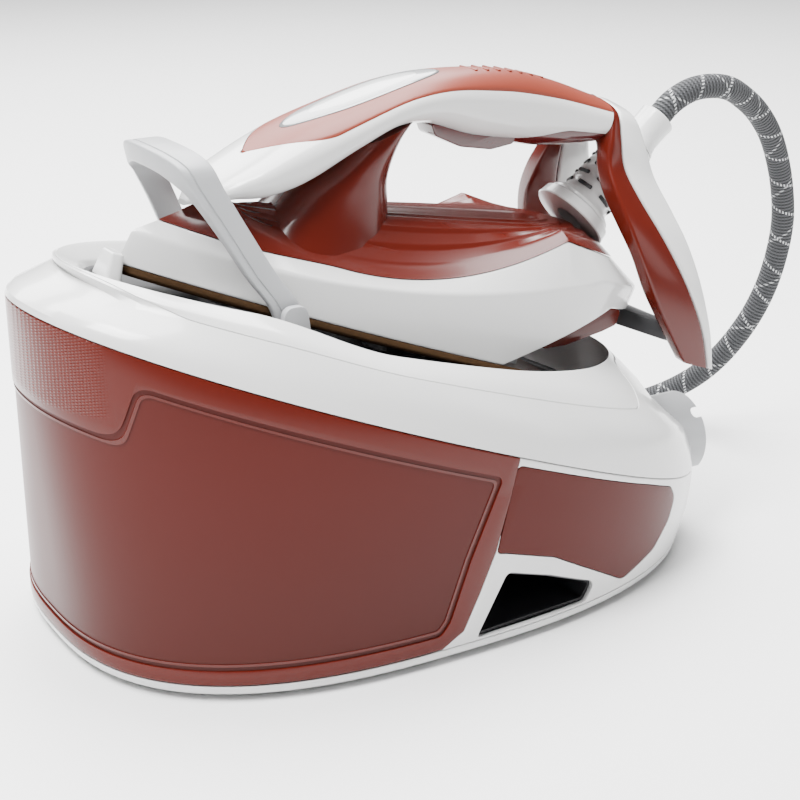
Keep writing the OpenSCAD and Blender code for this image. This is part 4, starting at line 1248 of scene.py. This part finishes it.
# Each piece: its name, the function that makes it and its values, finish, the nodes it stands for, slot
BASE = [
    ("pan", bottom_pan, (), WHITE, ["bottom_pan"], "white_gloss"),
    ("frame", rear_frame, (), WHITE, ["frame_left", "frame_right"], "white_gloss"),
    ("panel_left", side_panel, (-1,), PANEL_RED, ["side_panel_left"], "copper_red"),
    ("panel_right", side_panel, (1,), PANEL_RED, ["side_panel_right"], "copper_red"),
    ("tunnel", cord_tunnel, (), DARK_GREY, ["cord_tunnel"], "dark_grey"),
    ("deck", deck_cover, (), WHITE, ["deck_cover"], "white_gloss"),
    ("nose_stop", nose_stop, (), WHITE, ["nose_stop"], "white_gloss"),
    ("tray", rest_tray, (), DARK_GREY, ["rest_tray"], "dark_grey"),
    ("lug_left", tray_lug, (-1,), LIGHT_GREY, [], "light_grey"),
    ("lug_right", tray_lug, (1,), LIGHT_GREY, [], "light_grey")]
ARCH = [("arch", lock_arch, (), LIGHT_GREY, ["lock_arch"], "light_grey")]
CAP = [("cap", scale_cap, (), LIGHT_GREY, ["scale_cap"], "light_grey")]
TANK = [
    ("tank_frame", tank_frame, (), PEBBLED, ["tank_frame", "tank_grip"], "copper_red"),
    ("tank_window", tank_window, (), CLEAR_RED, [], "clear_red"),
    ("window_bead", window_bead, (), RED, [], "clear_red")]
TRIGGER = [("trigger", trigger, (), TRIGGER_RED, ["steam_trigger"], "dark_grey")]
IRON = [
    ("soleplate", soleplate, (), SOLE, ["soleplate"], "steel"),
    ("skirt", skirt, (), WHITE, ["skirt"], "white_gloss"),
    ("body_top", body_top, (), RED, ["body_top"], "copper_red"),
    ("column", front_column, (), RED, ["front_column"], "copper_red"),
    ("heel_base", heel_base, (), RED, ["heel_base"], "copper_red"),
    ("strut", heel_strut, (), DARK_GREY, ["heel_strut"], "dark_grey"),
    ("handle", handle_shell, (), WHITE, ["handle_shell"], "white_gloss"),
    ("inlay", grip_inlay, (), COPPER_WITH_PAINTED_LIGHT, ["grip_inlay"], "salmon"),
    ("grip_ribs", grip_ribs, (), COPPER_WITH_PAINTED_LIGHT, [], "salmon"),
    ("lens_rim", lens_piece, (1.0, 0.5, 0.1), DARK_GREY, [], "dark_grey"),
    ("lens", lens_piece, (0.965, 0.95, 0.4), LENS, ["top_lens"], "lens_grey"),
    # The inner oval on the lens is a painted highlight in pale grey.
    ("lens_middle", lens_piece, (0.68, 1.15, 0.8), LENS_PAINTED_HIGHLIGHT, [], "lens_grey"),
    ("belly", grip_belly, (), TRIGGER_RED, [], "copper_red"),
    ("heel_inner", heel_piece, (False,), RED, [], "copper_red"),
    ("heel_outer", heel_piece, (True,), WHITE, ["heel_arch"], "white_gloss"),
    ("rear_cover", rear_cover, (), WHITE, ["rear_cover"], "white_gloss"),
    ("sleeve", hose_sleeve, (), WHITE, ["hose_sleeve"], "white_gloss"),
    ("collar", hose_collar, (), WHITE, ["hose_collar"], "white_gloss"),
    ("sleeve_slits", sleeve_slits, (), DARK_GREY, [], "dark_grey")]
BODIES = {"root": BASE, "lock_arch": ARCH, "scale_cap": CAP, "water_tank": TANK, "iron": IRON,
          "steam_trigger": TRIGGER}
NODE_PAINTS = {
    "rest_pads": RUBBER, "lock_pins": STEEL, "boiler": STEEL, "boiler_heater": BRASS,
    "boiler_thermostat": ALLOY, "steam_valve": BRASS, "pump": PUMP_BODY, "pump_mounts": DARK_GREY,
    "water_tube": SILICONE, "steam_pipe": SILICONE, "control_board": BOARD, "tank_socket": DARK_GREY,
    "socket_seal": SILICONE, "hose_gland": DARK_GREY, "power_gland": DARK_GREY, "control_panel": DARK_GREY,
    "panel_lights": AMBER, "feet": RUBBER, "base_screws": STEEL, "power_button": WHITE, "eco_button": GREEN,
    "tank_shell": CLEAR_RED, "tank_lid": CLEAR_RED, "tank_valve": DARK_GREY, "sole_heater": ALLOY,
    "microswitch": DARK_GREY, "iron_thermostat": ALLOY, "trigger_pin": STEEL, "iron_screws": STEEL}


add_camera()
add_hose()
add_studio()
for body, pieces in BODIES.items():
    for name, make, values, paint, nodes, slot in pieces:
        place_piece(name + "_look", make(*values), body, paint, nodes)
for node_name, paint in NODE_PAINTS.items():
    finish_with(bpy.data.objects[node_name], paint)
